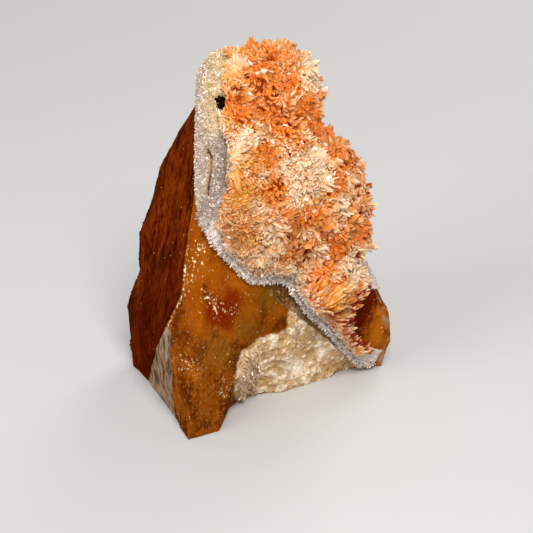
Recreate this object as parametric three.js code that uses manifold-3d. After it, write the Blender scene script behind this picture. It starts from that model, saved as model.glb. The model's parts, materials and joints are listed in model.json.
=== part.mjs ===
// Aragonite cluster on its matrix: a broken block of banded honey calcite, a pale drusy seam over its
// growth side, and one crust of short radiating aragonite blades grown on the seam.
// Millimetres, +Z up. The origin is the middle of the block's flat underside.
import * as THREE from "three";
import { mergeVertices } from "three/addons/utils/BufferGeometryUtils.js";
import Module from "manifold-3d";

const wasm = await Module();
wasm.setup();

// ---------------------------------------------------------------- driving dimensions
const SEAM_THICKNESS = 2.6; // pale layer between the stone and the crystals
const CLEARANCE = 0.3; // kept between pieces that touch
const SEAM_FOOT = 2.5; // lowest edge of the seam above the resting surface
const SEAM_BACK = 9; // the seam ends behind this depth
const CRUST_FOOT = 1.2; // lowest edge of the crust above the resting surface
const CRUST_BACK = 10.5; // the crust's mass ends behind this depth
const RIM_WIDTH = 2.4; // the seam's pale rim, from its outer edge in to the crystals' roots
const RIM_OVERHANG = 1.1; // how far the crystals reach out over that rim
const RIM_TILT = THREE.MathUtils.degToRad(25); // the rim faces forward and this much upward

const BLADE_LENGTH = 5.6; // how far a long blade stands out of the crust
const BLADE_WIDTH = 3.4;
const BLADE_THICKNESS = 1.9;
const BLADE_ROOT = 3; // how deep a blade is rooted in the crust
const BLADE_CREST = [[-0.55, 1], [0.35, 0.88]]; // ends of its chisel edge: share of half width, of length
const BLADE_SPACING = 7.2;
const BLADE_SPLAY = 0.35; // largest sideways lean, as a share of the length
const BLADE_MARGIN = 3; // no blade stands closer to the crust's foot

const SPIKE_GRID = 3.1; // spacing of the corners that the short pointed crystals share
const SPIKE_HEIGHT = 3.9;
const SPIKE_LEAN = 1.1;
const VALLEY_LEAN = 0.33; // sideways scatter of the corners between spikes
const LOBE_LUMPS = 0.8; // height of the swellings on a lobe
const LOBE_LUMP_SIZE = 7;
const LOBE_COVER = 0.97; // a lobe covers what lies within this share of its size

const STONE_RELIEF = 0.55; // height of the stone's lumps
const STONE_RELIEF_SIZE = 9;
const GROOVE_DEPTH = 0.5; // striations of the flat left face
const GROOVE_PITCH = 5.2;
const GROOVE_LEAN = 0.35; // how far they come forward as they climb
const GROOVE_LENGTH = 60;

const FAR = 160; // beyond the specimen on every side

// Cross-sections of the stone from the base up. Each lists the same corners, starting at the edge
// between the flat left face and the front, and going round through right and back.
const CORNERS = [
  "leftEdge", "chamfer", "toeLeft", "toeRight", "hollowLeft", "hollowDeep", "hollowMid", "hollowRight",
  "shoulder", "rightCorner", "backRight", "back", "backLeft", "leftBackEdge",
];
const LEFT_FACE = CORNERS.indexOf("leftBackEdge"); // the flat left face starts at this corner
const SECTIONS = [
  { z: 0, at: [[-39, 0], [-28.5, -27], [-24, -42.5], [-13.7, -36.5], [-11, -21.5], [-5, -10.5],
    [8, -8], [22, 1], [30, 9], [43, 11], [40, 28], [12, 38], [-24, 35], [-45, 11]] },
  { z: 10, at: [[-37, -8], [-29, -30], [-22.5, -44.5], [-10.5, -32.5], [-7, -24], [-2, -15.5],
    [9, -10.5], [20, -2], [33, 4], [46, 10], [42, 31], [12, 42], [-27, 38], [-46.5, 16.5]] },
  { z: 22, at: [[-35, -18], [-29.5, -31], [-21, -43], [-9, -33], [-5, -28], [0, -21.5],
    [10, -16], [18, -9], [33, 2], [44.5, 8], [42, 31], [11, 43], [-28, 38], [-47, 16]] },
  { z: 36, at: [[-30.5, -27], [-28, -31.5], [-20, -38.5], [-9, -31.5], [-4, -28.5], [2, -25.5],
    [9, -21.5], [15, -17], [27, -4], [36.5, 8], [35, 30], [9, 41], [-26, 36], [-42, 15]] },
  { z: 50, at: [[-25.5, -30.5], [-23.5, -33], [-18, -34.5], [-9, -30], [-4, -28], [1, -26],
    [6, -23], [14, -15], [22, -4], [31, 10], [30, 28], [7, 38], [-25, 33], [-42, 13.5]] },
  { z: 64, at: [[-23.6, -24.5], [-21.5, -27.5], [-18, -30], [-14, -28.5], [-6, -24], [0, -19.5],
    [7, -13.5], [14, -6], [21, 2], [29, 12], [26, 26], [4, 35], [-24, 31], [-37.5, 11.5]] },
  { z: 77, at: [[-21.5, -18], [-19.5, -22], [-16, -25], [-12, -24], [-6, -19], [0, -14],
    [7, -8], [13, -2], [18, 5], [24, 12], [20, 24], [1, 31], [-22, 28], [-34, 10]] },
  { z: 90, at: [[-21, -12], [-19, -15.5], [-15, -18], [-11, -17], [-6, -13.5], [0, -9],
    [6, -4.5], [11, 0], [15, 5], [19, 11], [16, 21], [-1, 27], [-19, 23], [-27, 7.5]] },
  { z: 101, at: [[-20.5, -7.5], [-18.5, -10.5], [-15, -13], [-11, -12.5], [-6, -9.5], [0, -6],
    [5, -2.5], [9, 1], [12, 5], [15, 10], [13, 17], [-2, 23], [-15, 18], [-21.5, 4.5]] },
  { z: 111, at: [[-19, -3.5], [-17, -6.5], [-14.5, -8.5], [-11, -8.5], [-6, -6.5], [-1, -4],
    [4, -1.5], [7, 1.5], [9.5, 4.5], [11.5, 8.5], [9, 13], [-3, 17], [-13, 13], [-18.5, 2]] },
  { z: 117.5, at: [[-15.5, -0.5], [-14.5, -2.5], [-12.5, -4], [-10, -4], [-6, -3], [-2, -1.5],
    [2, 0], [4.5, 2], [6, 4], [7, 6.5], [5, 9], [-3, 11], [-10.5, 9], [-15, 2.5]] },
];
const FACE_STEPS = [1, 2, 2, 2, 2, 2, 2, 3, 2, 3, 2, 3, 2, 7]; // facets from each corner to the next
const FINE_BELOW = 60; // below this height two rows of facets lie between sections, above it one
const LOWEST_ROW = 1; // no row above the base sinks below this height
const CAP_HEIGHT = 1.2; // the blunt crown above the last section

// Flat breaks across the back and the lower edges: a point on each, and the way it faces.
const BREAKS = [
  { at: [-40.5, 17, 50], faces: [-0.6, 0.75, 0.28] },
  { at: [-38, 28, 26], faces: [-0.74, 0.66, -0.12] },
  { at: [0, 33, 60], faces: [0.05, 0.9, 0.42] },
  { at: [0, 40, 28], faces: [-0.1, 0.99, -0.06] },
  { at: [26, 26, 50], faces: [0.72, 0.62, 0.3] },
  { at: [43.5, 26, 12], faces: [0.9, 0.42, -0.1] },
  { at: [2, 38, 8], faces: [0.08, 0.86, -0.5] },
  { at: [-38, 28, 6], faces: [-0.62, 0.6, -0.5] },
];
// Steps on the back where a slab has split off: the wall that it bared, and the shelf at its foot.
const LEDGES = [
  {
    wall: { at: [14, 22.5, 72], faces: [0.5, 0.83, 0.24] },
    shelf: { at: [14, 22.5, 57], faces: [-0.15, -0.25, 1] },
  },
  {
    wall: { at: [-30, 29, 30], faces: [-0.62, 0.76, 0.1] },
    shelf: { at: [-30, 29, 19], faces: [0.2, -0.2, 1] },
  },
];

// The outlines below are drawn on the plane that the rim faces: [sideways, up the plane].
// The rim where the crust ends on the stone, from the crown down the left side to the lower right.
const RIM = [
  [-13.4, 112], [-13.8, 104], [-15.4, 98], [-15.1, 90], [-13.4, 84], [-12, 78], [-11.8, 70],
  [-13.8, 64], [-16.2, 59.5], [-17.4, 56], [-17.2, 51], [-14.6, 46.6], [-8.1, 39.5], [-2.9, 34.6],
  [7, 35.2], [9.5, 33.2], [15.1, 25.4], [18.9, 21.5], [24.6, 16.5], [28.5, 11.4], [32.5, 7.2],
  [35.8, 4.6],
];
const FAR_RIGHT = [[70, 4.6], [70, FAR]];
// Right of the fan the crust has broken away and bares the stone.
const BARE_PATCH = [
  [60, 3], [38.6, 3.5], [42.6, 10.8], [40.4, 11.1], [36.4, 12.7], [32.7, 15.8], [30.9, 20], [31.2, 24.5],
  [34.2, 29.5], [37.5, 32], [60, 33],
];
// The outer edge of the seam, left of the crystals.
const SEAM_LEFT = [[-20, 112], [-20.4, 96], [-20.8, 80], [-20.9, 66], [-19.8, 56]];
// A pointed pit beside the upper crystals, down to the stone.
const PIT = [[-14.7, 94.8], [-13.1, 95.7], [-10.8, 94.2], [-11.5, 91.4], [-12.7, 89.5], [-14.1, 92.3]];
const PIT_BACK = -2; // the pit lies in front of this depth

// The crust's lobes: [centre], [half axes].
const LOBES = [
  { at: [6.5, 1.5, 107.5], size: [12, 12.5, 14] },
  { at: [0, 0, 109.5], size: [10, 12, 12.5] },
  { at: [-7, -2, 108], size: [11, 12.5, 13.5] },
  { at: [-7, -10.5, 98], size: [9, 9.5, 14] },
  { at: [-6, -15, 84], size: [10, 11, 15] },
  { at: [7, -4, 92], size: [12, 12, 10] },
  { at: [10, -5, 73], size: [24, 22, 21] },
  { at: [18, -4, 60], size: [17.5, 17, 15] },
  { at: [-8, -21, 69], size: [11, 11, 14] },
  { at: [-1, -21, 59], size: [12, 11, 10] },
  { at: [17, -10, 45], size: [16, 14.5, 12] },
  { at: [26, -2, 31], size: [11, 11, 11] },
  { at: [31, 4, 17], size: [8, 8.5, 12] },
];

const COLOURS = { stone: 0xa6590f, seam: 0xc9b79c, crystal: 0xe0955a };

// ---------------------------------------------------------------- numbers and noise
// A repeatable run of numbers from 0 to 1.
function randomFrom(seed) {
  let state = seed >>> 0;
  return () => {
    state = (state + 0x6d2b79f5) >>> 0;
    let t = Math.imul(state ^ (state >>> 15), 1 | state);
    t = (t + Math.imul(t ^ (t >>> 7), 61 | t)) ^ t;
    return ((t ^ (t >>> 14)) >>> 0) / 4294967296;
  };
}

function latticeValue(x, y, z) {
  let h = Math.imul(x, 374761393) ^ Math.imul(y, 668265263) ^ Math.imul(z, 2147483647);
  h = Math.imul(h ^ (h >>> 13), 1274126177);
  return (((h ^ (h >>> 16)) >>> 0) / 4294967295) * 2 - 1;
}

// Smooth noise from -1 to 1 with lumps about one unit across.
function noise(p) {
  const cell = p.clone().floor();
  const t = p.clone().sub(cell);
  const s = new THREE.Vector3(...t.toArray().map((v) => v * v * (3 - 2 * v)));
  const at = (i, j, k) => latticeValue(cell.x + i, cell.y + j, cell.z + k);
  const alongX = (j, k) => THREE.MathUtils.lerp(at(0, j, k), at(1, j, k), s.x);
  const alongY = (k) => THREE.MathUtils.lerp(alongX(0, k), alongX(1, k), s.y);
  return THREE.MathUtils.lerp(alongY(0), alongY(1), s.z);
}

// Two octaves of it.
function relief(p, size) {
  const fine = p.clone().divideScalar(size * 0.45).addScalar(7.3);
  return noise(p.clone().divideScalar(size)) + 0.5 * noise(fine);
}

function scatter(random, reach) {
  return new THREE.Vector3(random() - 0.5, random() - 0.5, random() - 0.5).multiplyScalar(2 * reach);
}

// ---------------------------------------------------------------- solids
function solidOf(geometry) {
  const bare = new THREE.BufferGeometry().setAttribute("position", geometry.getAttribute("position"));
  if (geometry.index) bare.setIndex(geometry.index);
  const merged = mergeVertices(bare, 1e-4);
  const mesh = new wasm.Mesh({
    numProp: 3,
    vertProperties: new Float32Array(merged.attributes.position.array),
    triVerts: new Uint32Array(merged.index.array),
  });
  return new wasm.Manifold(mesh);
}

function geometryOf(solid) {
  const mesh = solid.getMesh();
  const stride = mesh.numProp;
  const positions = new Float32Array(mesh.numVert * 3);
  for (let i = 0; i < mesh.numVert; i++) {
    positions.set(mesh.vertProperties.subarray(i * stride, i * stride + 3), i * 3);
  }
  const geometry = new THREE.BufferGeometry();
  geometry.setAttribute("position", new THREE.BufferAttribute(positions, 3));
  geometry.setIndex(new THREE.BufferAttribute(new Uint32Array(mesh.triVerts), 1));
  geometry.computeVertexNormals();
  return geometry;
}

// Chips that a cut leaves loose are dropped.
function largestPiece(solid) {
  return solid.decompose().reduce((best, piece) => (piece.volume() > best.volume() ? piece : best));
}

// Everything beyond a plane that lies out from its point by grow.
function beyondPlane({ at, faces }, grow) {
  const normal = new THREE.Vector3(...faces).normalize();
  const block = new THREE.BoxGeometry(2 * FAR, 2 * FAR, 2 * FAR);
  block.translate(0, 0, FAR + grow);
  block.applyQuaternion(new THREE.Quaternion().setFromUnitVectors(new THREE.Vector3(0, 0, 1), normal));
  block.translate(...at);
  return solidOf(block);
}

// Everything above a foot and in front of a back.
function frontRoom(foot, back) {
  const room = new THREE.BoxGeometry(2 * FAR, FAR, FAR);
  room.translate(0, back - FAR / 2, foot + FAR / 2);
  return solidOf(room);
}

// A prism whose walls run the way that the rim faces, from in front of the stone to behind it.
function rimPrism(outline) {
  const shape = new THREE.Shape(outline.map(([a, b]) => new THREE.Vector2(a, b)));
  const prism = new THREE.ExtrudeGeometry(shape, { depth: 2 * FAR, bevelEnabled: false });
  prism.translate(0, 0, -FAR);
  prism.rotateX(Math.PI / 2 - RIM_TILT);
  return solidOf(prism);
}

// ---------------------------------------------------------------- the stone
function between([ax, ay], [bx, by], t) {
  return [THREE.MathUtils.lerp(ax, bx, t), THREE.MathUtils.lerp(ay, by, t)];
}

// One closed ring of points at a height, each with whether it lies within the flat left face.
function ringAt(corners, z) {
  return corners.flatMap((corner, i) => {
    const next = corners[(i + 1) % corners.length];
    return Array.from({ length: FACE_STEPS[i] }, (_, k) => {
      const [x, y] = between(corner, next, k / FACE_STEPS[i]);
      return { point: new THREE.Vector3(x, y, z), onLeftFace: i === LEFT_FACE && k > 0 };
    });
  });
}

// The stone's surface as rings, from the base up.
function stoneRings() {
  return SECTIONS.flatMap((section, i) => {
    const next = SECTIONS[i + 1] ?? section;
    const steps = section.z < FINE_BELOW ? 2 : 1;
    return Array.from({ length: steps }, (_, k) => {
      const t = k / steps;
      const corners = section.at.map((corner, c) => between(corner, next.at[c], t));
      return ringAt(corners, THREE.MathUtils.lerp(section.z, next.z, t));
    });
  });
}

function middleOf(ring) {
  const sum = ring.reduce((total, { point }) => total.add(point), new THREE.Vector3());
  return sum.divideScalar(ring.length);
}

// How far the surface stands out of the sections at a point.
function riseAt({ point, onLeftFace }) {
  if (!onLeftFace) return STONE_RELIEF * relief(point, STONE_RELIEF_SIZE);
  const acrossGrooves = (point.y + GROOVE_LEAN * point.z) / GROOVE_PITCH;
  return GROOVE_DEPTH * noise(new THREE.Vector3(acrossGrooves, 0.5, point.z / GROOVE_LENGTH));
}

// Rings closed by a flat base and a blunt crown: the points, and the triangles between them.
function skinOf(rings) {
  const around = rings[0].length;
  const points = rings.flat();
  const base = points.length;
  const crown = base + 1;
  points.push({ point: middleOf(rings[0]) });
  points.push({ point: middleOf(rings.at(-1)).add(new THREE.Vector3(0, 0, CAP_HEIGHT)) });
  const triangles = [];
  for (let i = 0; i < around; i++) {
    const j = (i + 1) % around;
    for (let row = 0; row + 1 < rings.length; row++) {
      const [a, b] = [row * around + i, row * around + j];
      triangles.push(a, b, b + around, a, b + around, a + around);
    }
    const topRow = base - around;
    triangles.push(base, j, i, crown, topRow + i, topRow + j);
  }
  return { points, triangles, base };
}

// The stone, pushed outward everywhere by grow: 0 is the stone itself, more is the room round it.
function stoneForm(grow) {
  const { points, triangles, base } = skinOf(stoneRings());
  const geometry = new THREE.BufferGeometry().setFromPoints(points.map(({ point }) => point));
  geometry.setIndex(triangles);
  geometry.computeVertexNormals();
  const normals = geometry.getAttribute("normal");
  const position = geometry.getAttribute("position");
  points.forEach((entry, i) => {
    if (i === base) return;
    const normal = new THREE.Vector3().fromBufferAttribute(normals, i);
    const moved = entry.point.clone();
    if (moved.z === 0) {
      moved.addScaledVector(normal.setZ(0).normalize(), grow);
    } else {
      moved.addScaledVector(normal, riseAt(entry) + grow);
      moved.z = Math.max(moved.z, LOWEST_ROW);
    }
    position.setXYZ(i, moved.x, moved.y, moved.z);
  });
  const beyond = (plane) => beyondPlane(plane, grow);
  const slabs = LEDGES.map(({ wall, shelf }) => beyond(wall).intersect(beyond(shelf)));
  return [...BREAKS.map(beyond), ...slabs].reduce((solid, part) => solid.subtract(part), solidOf(geometry));
}

// ---------------------------------------------------------------- the rim
// The rim moved in, towards the crystals, by a distance.
function rimMovedIn(distance) {
  return RIM.map(([a, b], i) => {
    const before = RIM[Math.max(i - 1, 0)];
    const after = RIM[Math.min(i + 1, RIM.length - 1)];
    const along = new THREE.Vector2(after[0] - before[0], after[1] - before[1]).normalize();
    return [a - along.y * distance, b + along.x * distance];
  });
}

function crustOutline(inset) {
  const rim = rimMovedIn(inset);
  return [...rim, ...FAR_RIGHT, [rim[0][0], FAR]];
}

function seamOutline() {
  const leftFoot = SEAM_LEFT.at(-1)[1];
  const lowerRim = RIM.filter(([, b]) => b < leftFoot - 2);
  return [[SEAM_LEFT[0][0], FAR], ...SEAM_LEFT, ...lowerRim, ...FAR_RIGHT];
}

function pitForm() {
  return rimPrism(PIT).intersect(frontRoom(0, PIT_BACK));
}

// ---------------------------------------------------------------- the seam
function seamForm(stoneRoom) {
  const layer = stoneForm(SEAM_THICKNESS).subtract(stoneRoom);
  const sheet = layer.intersect(rimPrism(seamOutline())).intersect(frontRoom(SEAM_FOOT, SEAM_BACK));
  return largestPiece(sheet.subtract(rimPrism(BARE_PATCH)).subtract(pitForm()));
}

// ---------------------------------------------------------------- the crystals
// A ball of even triangles, about a spike's spacing apart once it has a lobe's size.
function ballGrid(size) {
  const mean = (size[0] + size[1] + size[2]) / 3;
  const ball = new THREE.IcosahedronGeometry(1, Math.round((1.1 * mean) / SPIKE_GRID) - 1);
  ball.deleteAttribute("normal");
  ball.deleteAttribute("uv");
  return mergeVertices(ball, 1e-4);
}

// Picks the corners that become points, so that no two of them are neighbours.
function peaksOf(grid, random) {
  const count = grid.getAttribute("position").count;
  const neighbours = Array.from({ length: count }, () => new Set());
  for (let i = 0; i < grid.index.count; i += 3) {
    const [a, b, c] = [grid.index.getX(i), grid.index.getX(i + 1), grid.index.getX(i + 2)];
    [[a, b], [b, c], [c, a]].forEach(([p, q]) => {
      neighbours[p].add(q);
      neighbours[q].add(p);
    });
  }
  const isPeak = new Array(count).fill(false);
  const order = [...isPeak.keys()].map((i) => ({ i, rank: random() })).sort((p, q) => p.rank - q.rank);
  order.forEach(({ i }) => {
    isPeak[i] = ![...neighbours[i]].some((other) => isPeak[other]);
  });
  return isPeak;
}

// One lobe: a ball whose surface is a field of short pointed crystals with six flat sides each.
function lobeForm({ at, size }, which) {
  const random = randomFrom(101 + which);
  const grid = ballGrid(size);
  const isPeak = peaksOf(grid, random);
  const position = grid.getAttribute("position");
  isPeak.forEach((peak, i) => {
    const ray = new THREE.Vector3().fromBufferAttribute(position, i);
    const surface = ray.clone().multiply(new THREE.Vector3(...size)).add(new THREE.Vector3(...at));
    const sway = scatter(random, peak ? SPIKE_LEAN : VALLEY_LEAN);
    const height = peak ? SPIKE_HEIGHT * (0.6 + 0.7 * random()) : 0;
    const swelling = LOBE_LUMPS * relief(surface, LOBE_LUMP_SIZE);
    surface.addScaledVector(ray, height + swelling).add(sway);
    position.setXYZ(i, surface.x, surface.y, surface.z);
  });
  return solidOf(grid);
}

// One blade: a flat four-sided prism that narrows to a chisel edge, standing along +Z from its root.
function bladeGeometry(length, width, thickness) {
  const w = width / 2;
  const t = thickness / 2;
  const root = [[-w, 0], [0, -t], [w, 0], [0, t]].map(([x, y]) => [x, y, -BLADE_ROOT]);
  const crest = BLADE_CREST.map(([across, up]) => [w * across, 0, length * up]);
  const faces = [
    [0, 2, 1], [0, 3, 2],
    [0, 1, 4], [1, 5, 4], [1, 2, 5],
    [2, 3, 5], [3, 4, 5], [3, 0, 4],
  ];
  const corners = new Float32Array([...root, ...crest].flat());
  const geometry = new THREE.BufferGeometry();
  geometry.setAttribute("position", new THREE.BufferAttribute(corners, 3));
  geometry.setIndex(faces.flat());
  return geometry;
}

// True well inside a lobe, where another lobe's blade wouldn't show.
function insideLobe(p, { at, size }) {
  const d = p.clone().sub(new THREE.Vector3(...at)).divide(new THREE.Vector3(...size));
  return d.length() < LOBE_COVER;
}

function insideOutline(a, b, outline) {
  let inside = false;
  outline.forEach(([ax, ay], i) => {
    const [bx, by] = outline[(i + 1) % outline.length];
    if (ay > b !== by > b && a < ((bx - ax) * (b - ay)) / (by - ay) + ax) inside = !inside;
  });
  return inside;
}

// True where a blade can grow: inside the rim, in front of the bare back, off the bare patch.
function onGrowthSide(p) {
  const up = p.z * Math.cos(RIM_TILT) + p.y * Math.sin(RIM_TILT);
  const inReach = p.y < CRUST_BACK - 1 && p.z > CRUST_FOOT + BLADE_MARGIN;
  return inReach && insideOutline(p.x, up, crustOutline(0)) && !insideOutline(p.x, up, BARE_PATCH);
}

// Where the blades stand on one lobe: an even spiral over it.
function bladePlaces(lobe, random) {
  const centre = new THREE.Vector3(...lobe.at);
  const size = new THREE.Vector3(...lobe.size);
  const mean = (size.x + size.y + size.z) / 3;
  const count = Math.round((4 * Math.PI * mean * mean) / (BLADE_SPACING * BLADE_SPACING));
  const goldenAngle = Math.PI * (3 - Math.sqrt(5));
  return Array.from({ length: count }, (_, i) => {
    const height = 1 - (2 * (i + 0.5)) / count;
    const flat = Math.sqrt(1 - height * height);
    const turn = i * goldenAngle;
    const ray = new THREE.Vector3(flat * Math.cos(turn), flat * Math.sin(turn), height);
    return {
      point: ray.clone().multiply(size).add(centre),
      direction: ray.divide(size).normalize().add(scatter(random, BLADE_SPLAY)).normalize(),
      long: 0.7 + 0.55 * random(),
      wide: 0.8 + 0.45 * random(),
      spin: random() * Math.PI,
    };
  });
}

function bladeForm({ point, direction, long, wide, spin }) {
  const up = new THREE.Vector3(0, 0, 1);
  const turn = new THREE.Quaternion().setFromUnitVectors(up, direction);
  turn.multiply(new THREE.Quaternion().setFromAxisAngle(up, spin));
  const blade = bladeGeometry(BLADE_LENGTH * long, BLADE_WIDTH * wide, BLADE_THICKNESS * wide);
  blade.applyQuaternion(turn);
  blade.translate(point.x, point.y, point.z);
  return solidOf(blade);
}

// The blades of every lobe, without those that another lobe covers or that stand off the growth side.
function bladeForms() {
  const random = randomFrom(11);
  return LOBES.flatMap((lobe) => {
    const others = LOBES.filter((other) => other !== lobe);
    const isShown = ({ point }) => onGrowthSide(point) && !others.some((other) => insideLobe(point, other));
    return bladePlaces(lobe, random).filter(isShown).map(bladeForm);
  });
}

function crustForm(seamRoom) {
  const mass = wasm.Manifold.union(LOBES.map(lobeForm)).intersect(frontRoom(CRUST_FOOT, CRUST_BACK));
  const spiny = wasm.Manifold.union([mass, ...bladeForms()]);
  const grown = spiny.intersect(rimPrism(crustOutline(RIM_WIDTH - RIM_OVERHANG)));
  return largestPiece(grown.subtract(rimPrism(BARE_PATCH)).subtract(pitForm()).subtract(seamRoom));
}

// ---------------------------------------------------------------- the specimen
function piece(name, solid, colour, roughness) {
  const material = new THREE.MeshStandardMaterial({ color: colour, roughness, metalness: 0 });
  const mesh = new THREE.Mesh(geometryOf(solid), material);
  mesh.name = name;
  return mesh;
}

const stone = largestPiece(stoneForm(0));
const seam = seamForm(stoneForm(CLEARANCE));
const crust = crustForm(stoneForm(SEAM_THICKNESS + CLEARANCE));

const specimen = new THREE.Group();
specimen.add(
  piece("matrix_stone", stone, COLOURS.stone, 0.45),
  piece("drusy_seam", seam, COLOURS.seam, 0.6),
  piece("crystal_crust", crust, COLOURS.crystal, 0.4),
);

// It stands on its cut underside, with the middle of its footprint at the origin.
const middle = new THREE.Box3().setFromObject(specimen).getCenter(new THREE.Vector3());
specimen.position.set(-middle.x, -middle.y, 0);

export default specimen;
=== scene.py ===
import json
import math

import bpy
import numpy as np
from bpy.props import FloatProperty, FloatVectorProperty, IntProperty, PointerProperty
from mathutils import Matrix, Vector, noise
from mathutils.bvhtree import BVHTree
from mathutils.kdtree import KDTree

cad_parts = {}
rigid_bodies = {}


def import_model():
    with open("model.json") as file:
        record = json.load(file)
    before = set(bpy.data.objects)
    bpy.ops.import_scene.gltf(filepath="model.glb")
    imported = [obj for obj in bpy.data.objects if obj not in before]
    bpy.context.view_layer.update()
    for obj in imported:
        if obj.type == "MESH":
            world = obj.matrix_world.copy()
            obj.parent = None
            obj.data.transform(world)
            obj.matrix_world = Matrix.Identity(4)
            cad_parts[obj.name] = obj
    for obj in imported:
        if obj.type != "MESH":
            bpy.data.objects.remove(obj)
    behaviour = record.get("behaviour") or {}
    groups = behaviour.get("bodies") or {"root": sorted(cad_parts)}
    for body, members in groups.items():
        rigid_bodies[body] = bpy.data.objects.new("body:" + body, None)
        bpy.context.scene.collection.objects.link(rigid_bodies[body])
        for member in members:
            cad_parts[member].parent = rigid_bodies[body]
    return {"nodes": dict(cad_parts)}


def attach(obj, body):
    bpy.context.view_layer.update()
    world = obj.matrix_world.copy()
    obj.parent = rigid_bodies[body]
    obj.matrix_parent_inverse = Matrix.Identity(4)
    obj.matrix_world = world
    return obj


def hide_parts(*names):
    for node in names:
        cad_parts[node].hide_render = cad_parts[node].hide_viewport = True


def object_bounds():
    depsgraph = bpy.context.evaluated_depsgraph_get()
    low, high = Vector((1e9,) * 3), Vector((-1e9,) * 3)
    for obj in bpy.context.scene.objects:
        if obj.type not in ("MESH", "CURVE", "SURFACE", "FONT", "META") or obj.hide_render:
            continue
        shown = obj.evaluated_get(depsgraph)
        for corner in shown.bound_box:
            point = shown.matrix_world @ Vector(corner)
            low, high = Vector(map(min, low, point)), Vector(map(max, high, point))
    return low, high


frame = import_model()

bl_info = {
    "name": "Aragonite Specimen",
    "version": (1, 0, 0),
    "blender": (4, 5, 0),
    "location": "View3D > Sidebar > Specimen",
    "description": "Builds an aragonite crystal crust on honey calcite around a packed model",
    "category": "Object",
}

CAD_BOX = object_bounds()
MM = 0.001
LONGEST = 20.0  # the largest size that the panel allows, in millimetres
TILT = math.radians(25)

# ---------------------------------------------------------------- places on the specimen, in millimetres
# The outer edge of the seam's rim, from the crown down the left to the lower right.
RIM = [
    (-12.8, 112.5), (-13.2, 104.5), (-14.8, 98.5), (-14.5, 90.5), (-12.8, 84.5), (-11.4, 78.5),
    (-11.2, 70.5), (-13.2, 64.5), (-15.6, 60.0), (-16.8, 56.5), (-16.6, 51.5), (-14.0, 47.1),
    (-7.5, 40.0), (-2.3, 35.1), (7.6, 35.7), (10.1, 33.7), (15.7, 25.9), (19.5, 22.0),
    (25.2, 17.0), (29.1, 11.9), (33.1, 7.7), (36.4, 5.1),
]
# The pit in the strip, and how far back the stone behind it lies.
PIT = [(-14.1, 95.3), (-12.5, 96.2), (-10.2, 94.7), (-10.9, 91.9), (-12.1, 90.0), (-13.5, 92.8)]
PIT_BACK = -0.7
# The bared stone at the lower right, where no crystals grow.
BARE_PATCH = [
    (60.6, 3.5), (39.2, 4.0), (43.2, 11.3), (41.0, 11.6), (37.0, 13.2), (33.3, 16.3), (31.5, 20.5),
    (31.8, 25.0), (34.8, 30.0), (38.1, 32.5), (60.6, 33.5),
]
# The white lumps in the hollow: (across, up, radius).
WHITE_LUMPS = [(13.1, 5.6, 3.4), (-2.5, 9.5, 2.2), (22.0, 11.0, 2.0)]
# The sandy edge at the far right of the bare patch.
SANDY_EDGE = [(38.5, 38.0), (42.4, 31.8), (43.8, 25.8), (45.2, 19.0), (46.0, 14.0), (43.0, 6.0), (38.0, 4.0)]
# The brown groove under the rim, where the hollow meets the glassy front: a brown band with painted shade and
# painted light in it.
GROOVE = [(6.0, 33.0), (12.0, 27.5), (20.5, 19.8), (27.5, 13.0)]
# The dark line along the strip.
CRACK = [(-16.4, 78.2), (-14.8, 75.8), (-15.1, 71.5), (-15.8, 68.2), (-16.4, 63.8)]
# The cream hollow low on the front.
HOLLOW = [
    (-5.5, 12.0), (2.0, 17.2), (9.5, 19.0), (10.8, 28.5), (15.5, 26.5), (27.0, 15.5), (35.0, 6.5),
    (34.0, -10.0), (-6.0, -12.0), (-8.0, 2.0),
]
# The front edge of the flat left face: height, and how far back it lies.
FACE_EDGE = [
    (0, 1.3), (10, -6.7), (22, -16.7), (36, -25.7), (50, -29.2), (64, -23.2), (77, -16.7), (90, -10.7),
    (101, -6.2), (111, -2.2), (117.5, 0.8),
]
# How one striation of the left face runs, in the same way.
STRIATION = [(0, 3.0), (30, -3.0), (45, -4.5), (60, -3.0), (90, 5.0), (120, 15.0)]
# The front edge of the pale facet low on the left, in the same way.
CHAMFER_EDGE = [(0, -25.7), (10, -28.7), (20, -29.7), (27, -29.0), (36, -26.2), (44, -24.0)]
# The way that the flat left face looks.
LEFT_FACES = np.array((-0.93, -0.35, 0.06))
LEFT_FACES /= np.linalg.norm(LEFT_FACES)

# Patches of colour: (across, up, radius).
CREAM_PATCHES = [
    (-2.7, 81.0, 5.0), (-8.8, 75.0, 4.0), (15.8, 66.2, 5.5), (18.0, 105.5, 3.6), (20.5, 108.5, 3.4),
    (27.6, 61.1, 3.5), (14.0, 74.0, 4.0), (20.0, 66.5, 4.5), (3.8, 50.7, 4.0), (0.2, 59.6, 3.0),
    (6.8, 54.0, 3.4), (30.5, 38.4, 4.0), (-6.5, 106.5, 4.5), (2.5, 45.0, 3.5), (33.0, 44.0, 3.5),
    (8.0, 71.5, 3.5), (21.0, 73.0, 3.5), (17.5, 100.5, 3.0), (18.5, 29.5, 3.5), (23.0, 24.5, 3.0),
    (28.0, 15.5, 3.5), (13.0, 39.0, 3.0),
]
ORANGE_PATCHES = [
    (-0.6, 107.0, 2.5), (1.6, 103.8, 3.8), (4.0, 98.2, 4.5), (9.8, 84.1, 4.5), (25.0, 83.8, 4.5),
    (6.4, 65.9, 3.0), (25.6, 66.2, 4.0), (12.4, 54.4, 3.5), (27.0, 46.0, 3.5), (19.2, 33.5, 3.8),
    (28.0, 35.5, 3.0), (14.0, 92.0, 5.0), (33.0, 52.0, 3.5), (2.0, 78.0, 4.0), (30.0, 76.0, 4.0),
    (-7.0, 92.0, 4.0), (12.0, 98.0, 4.0),
]
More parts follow.
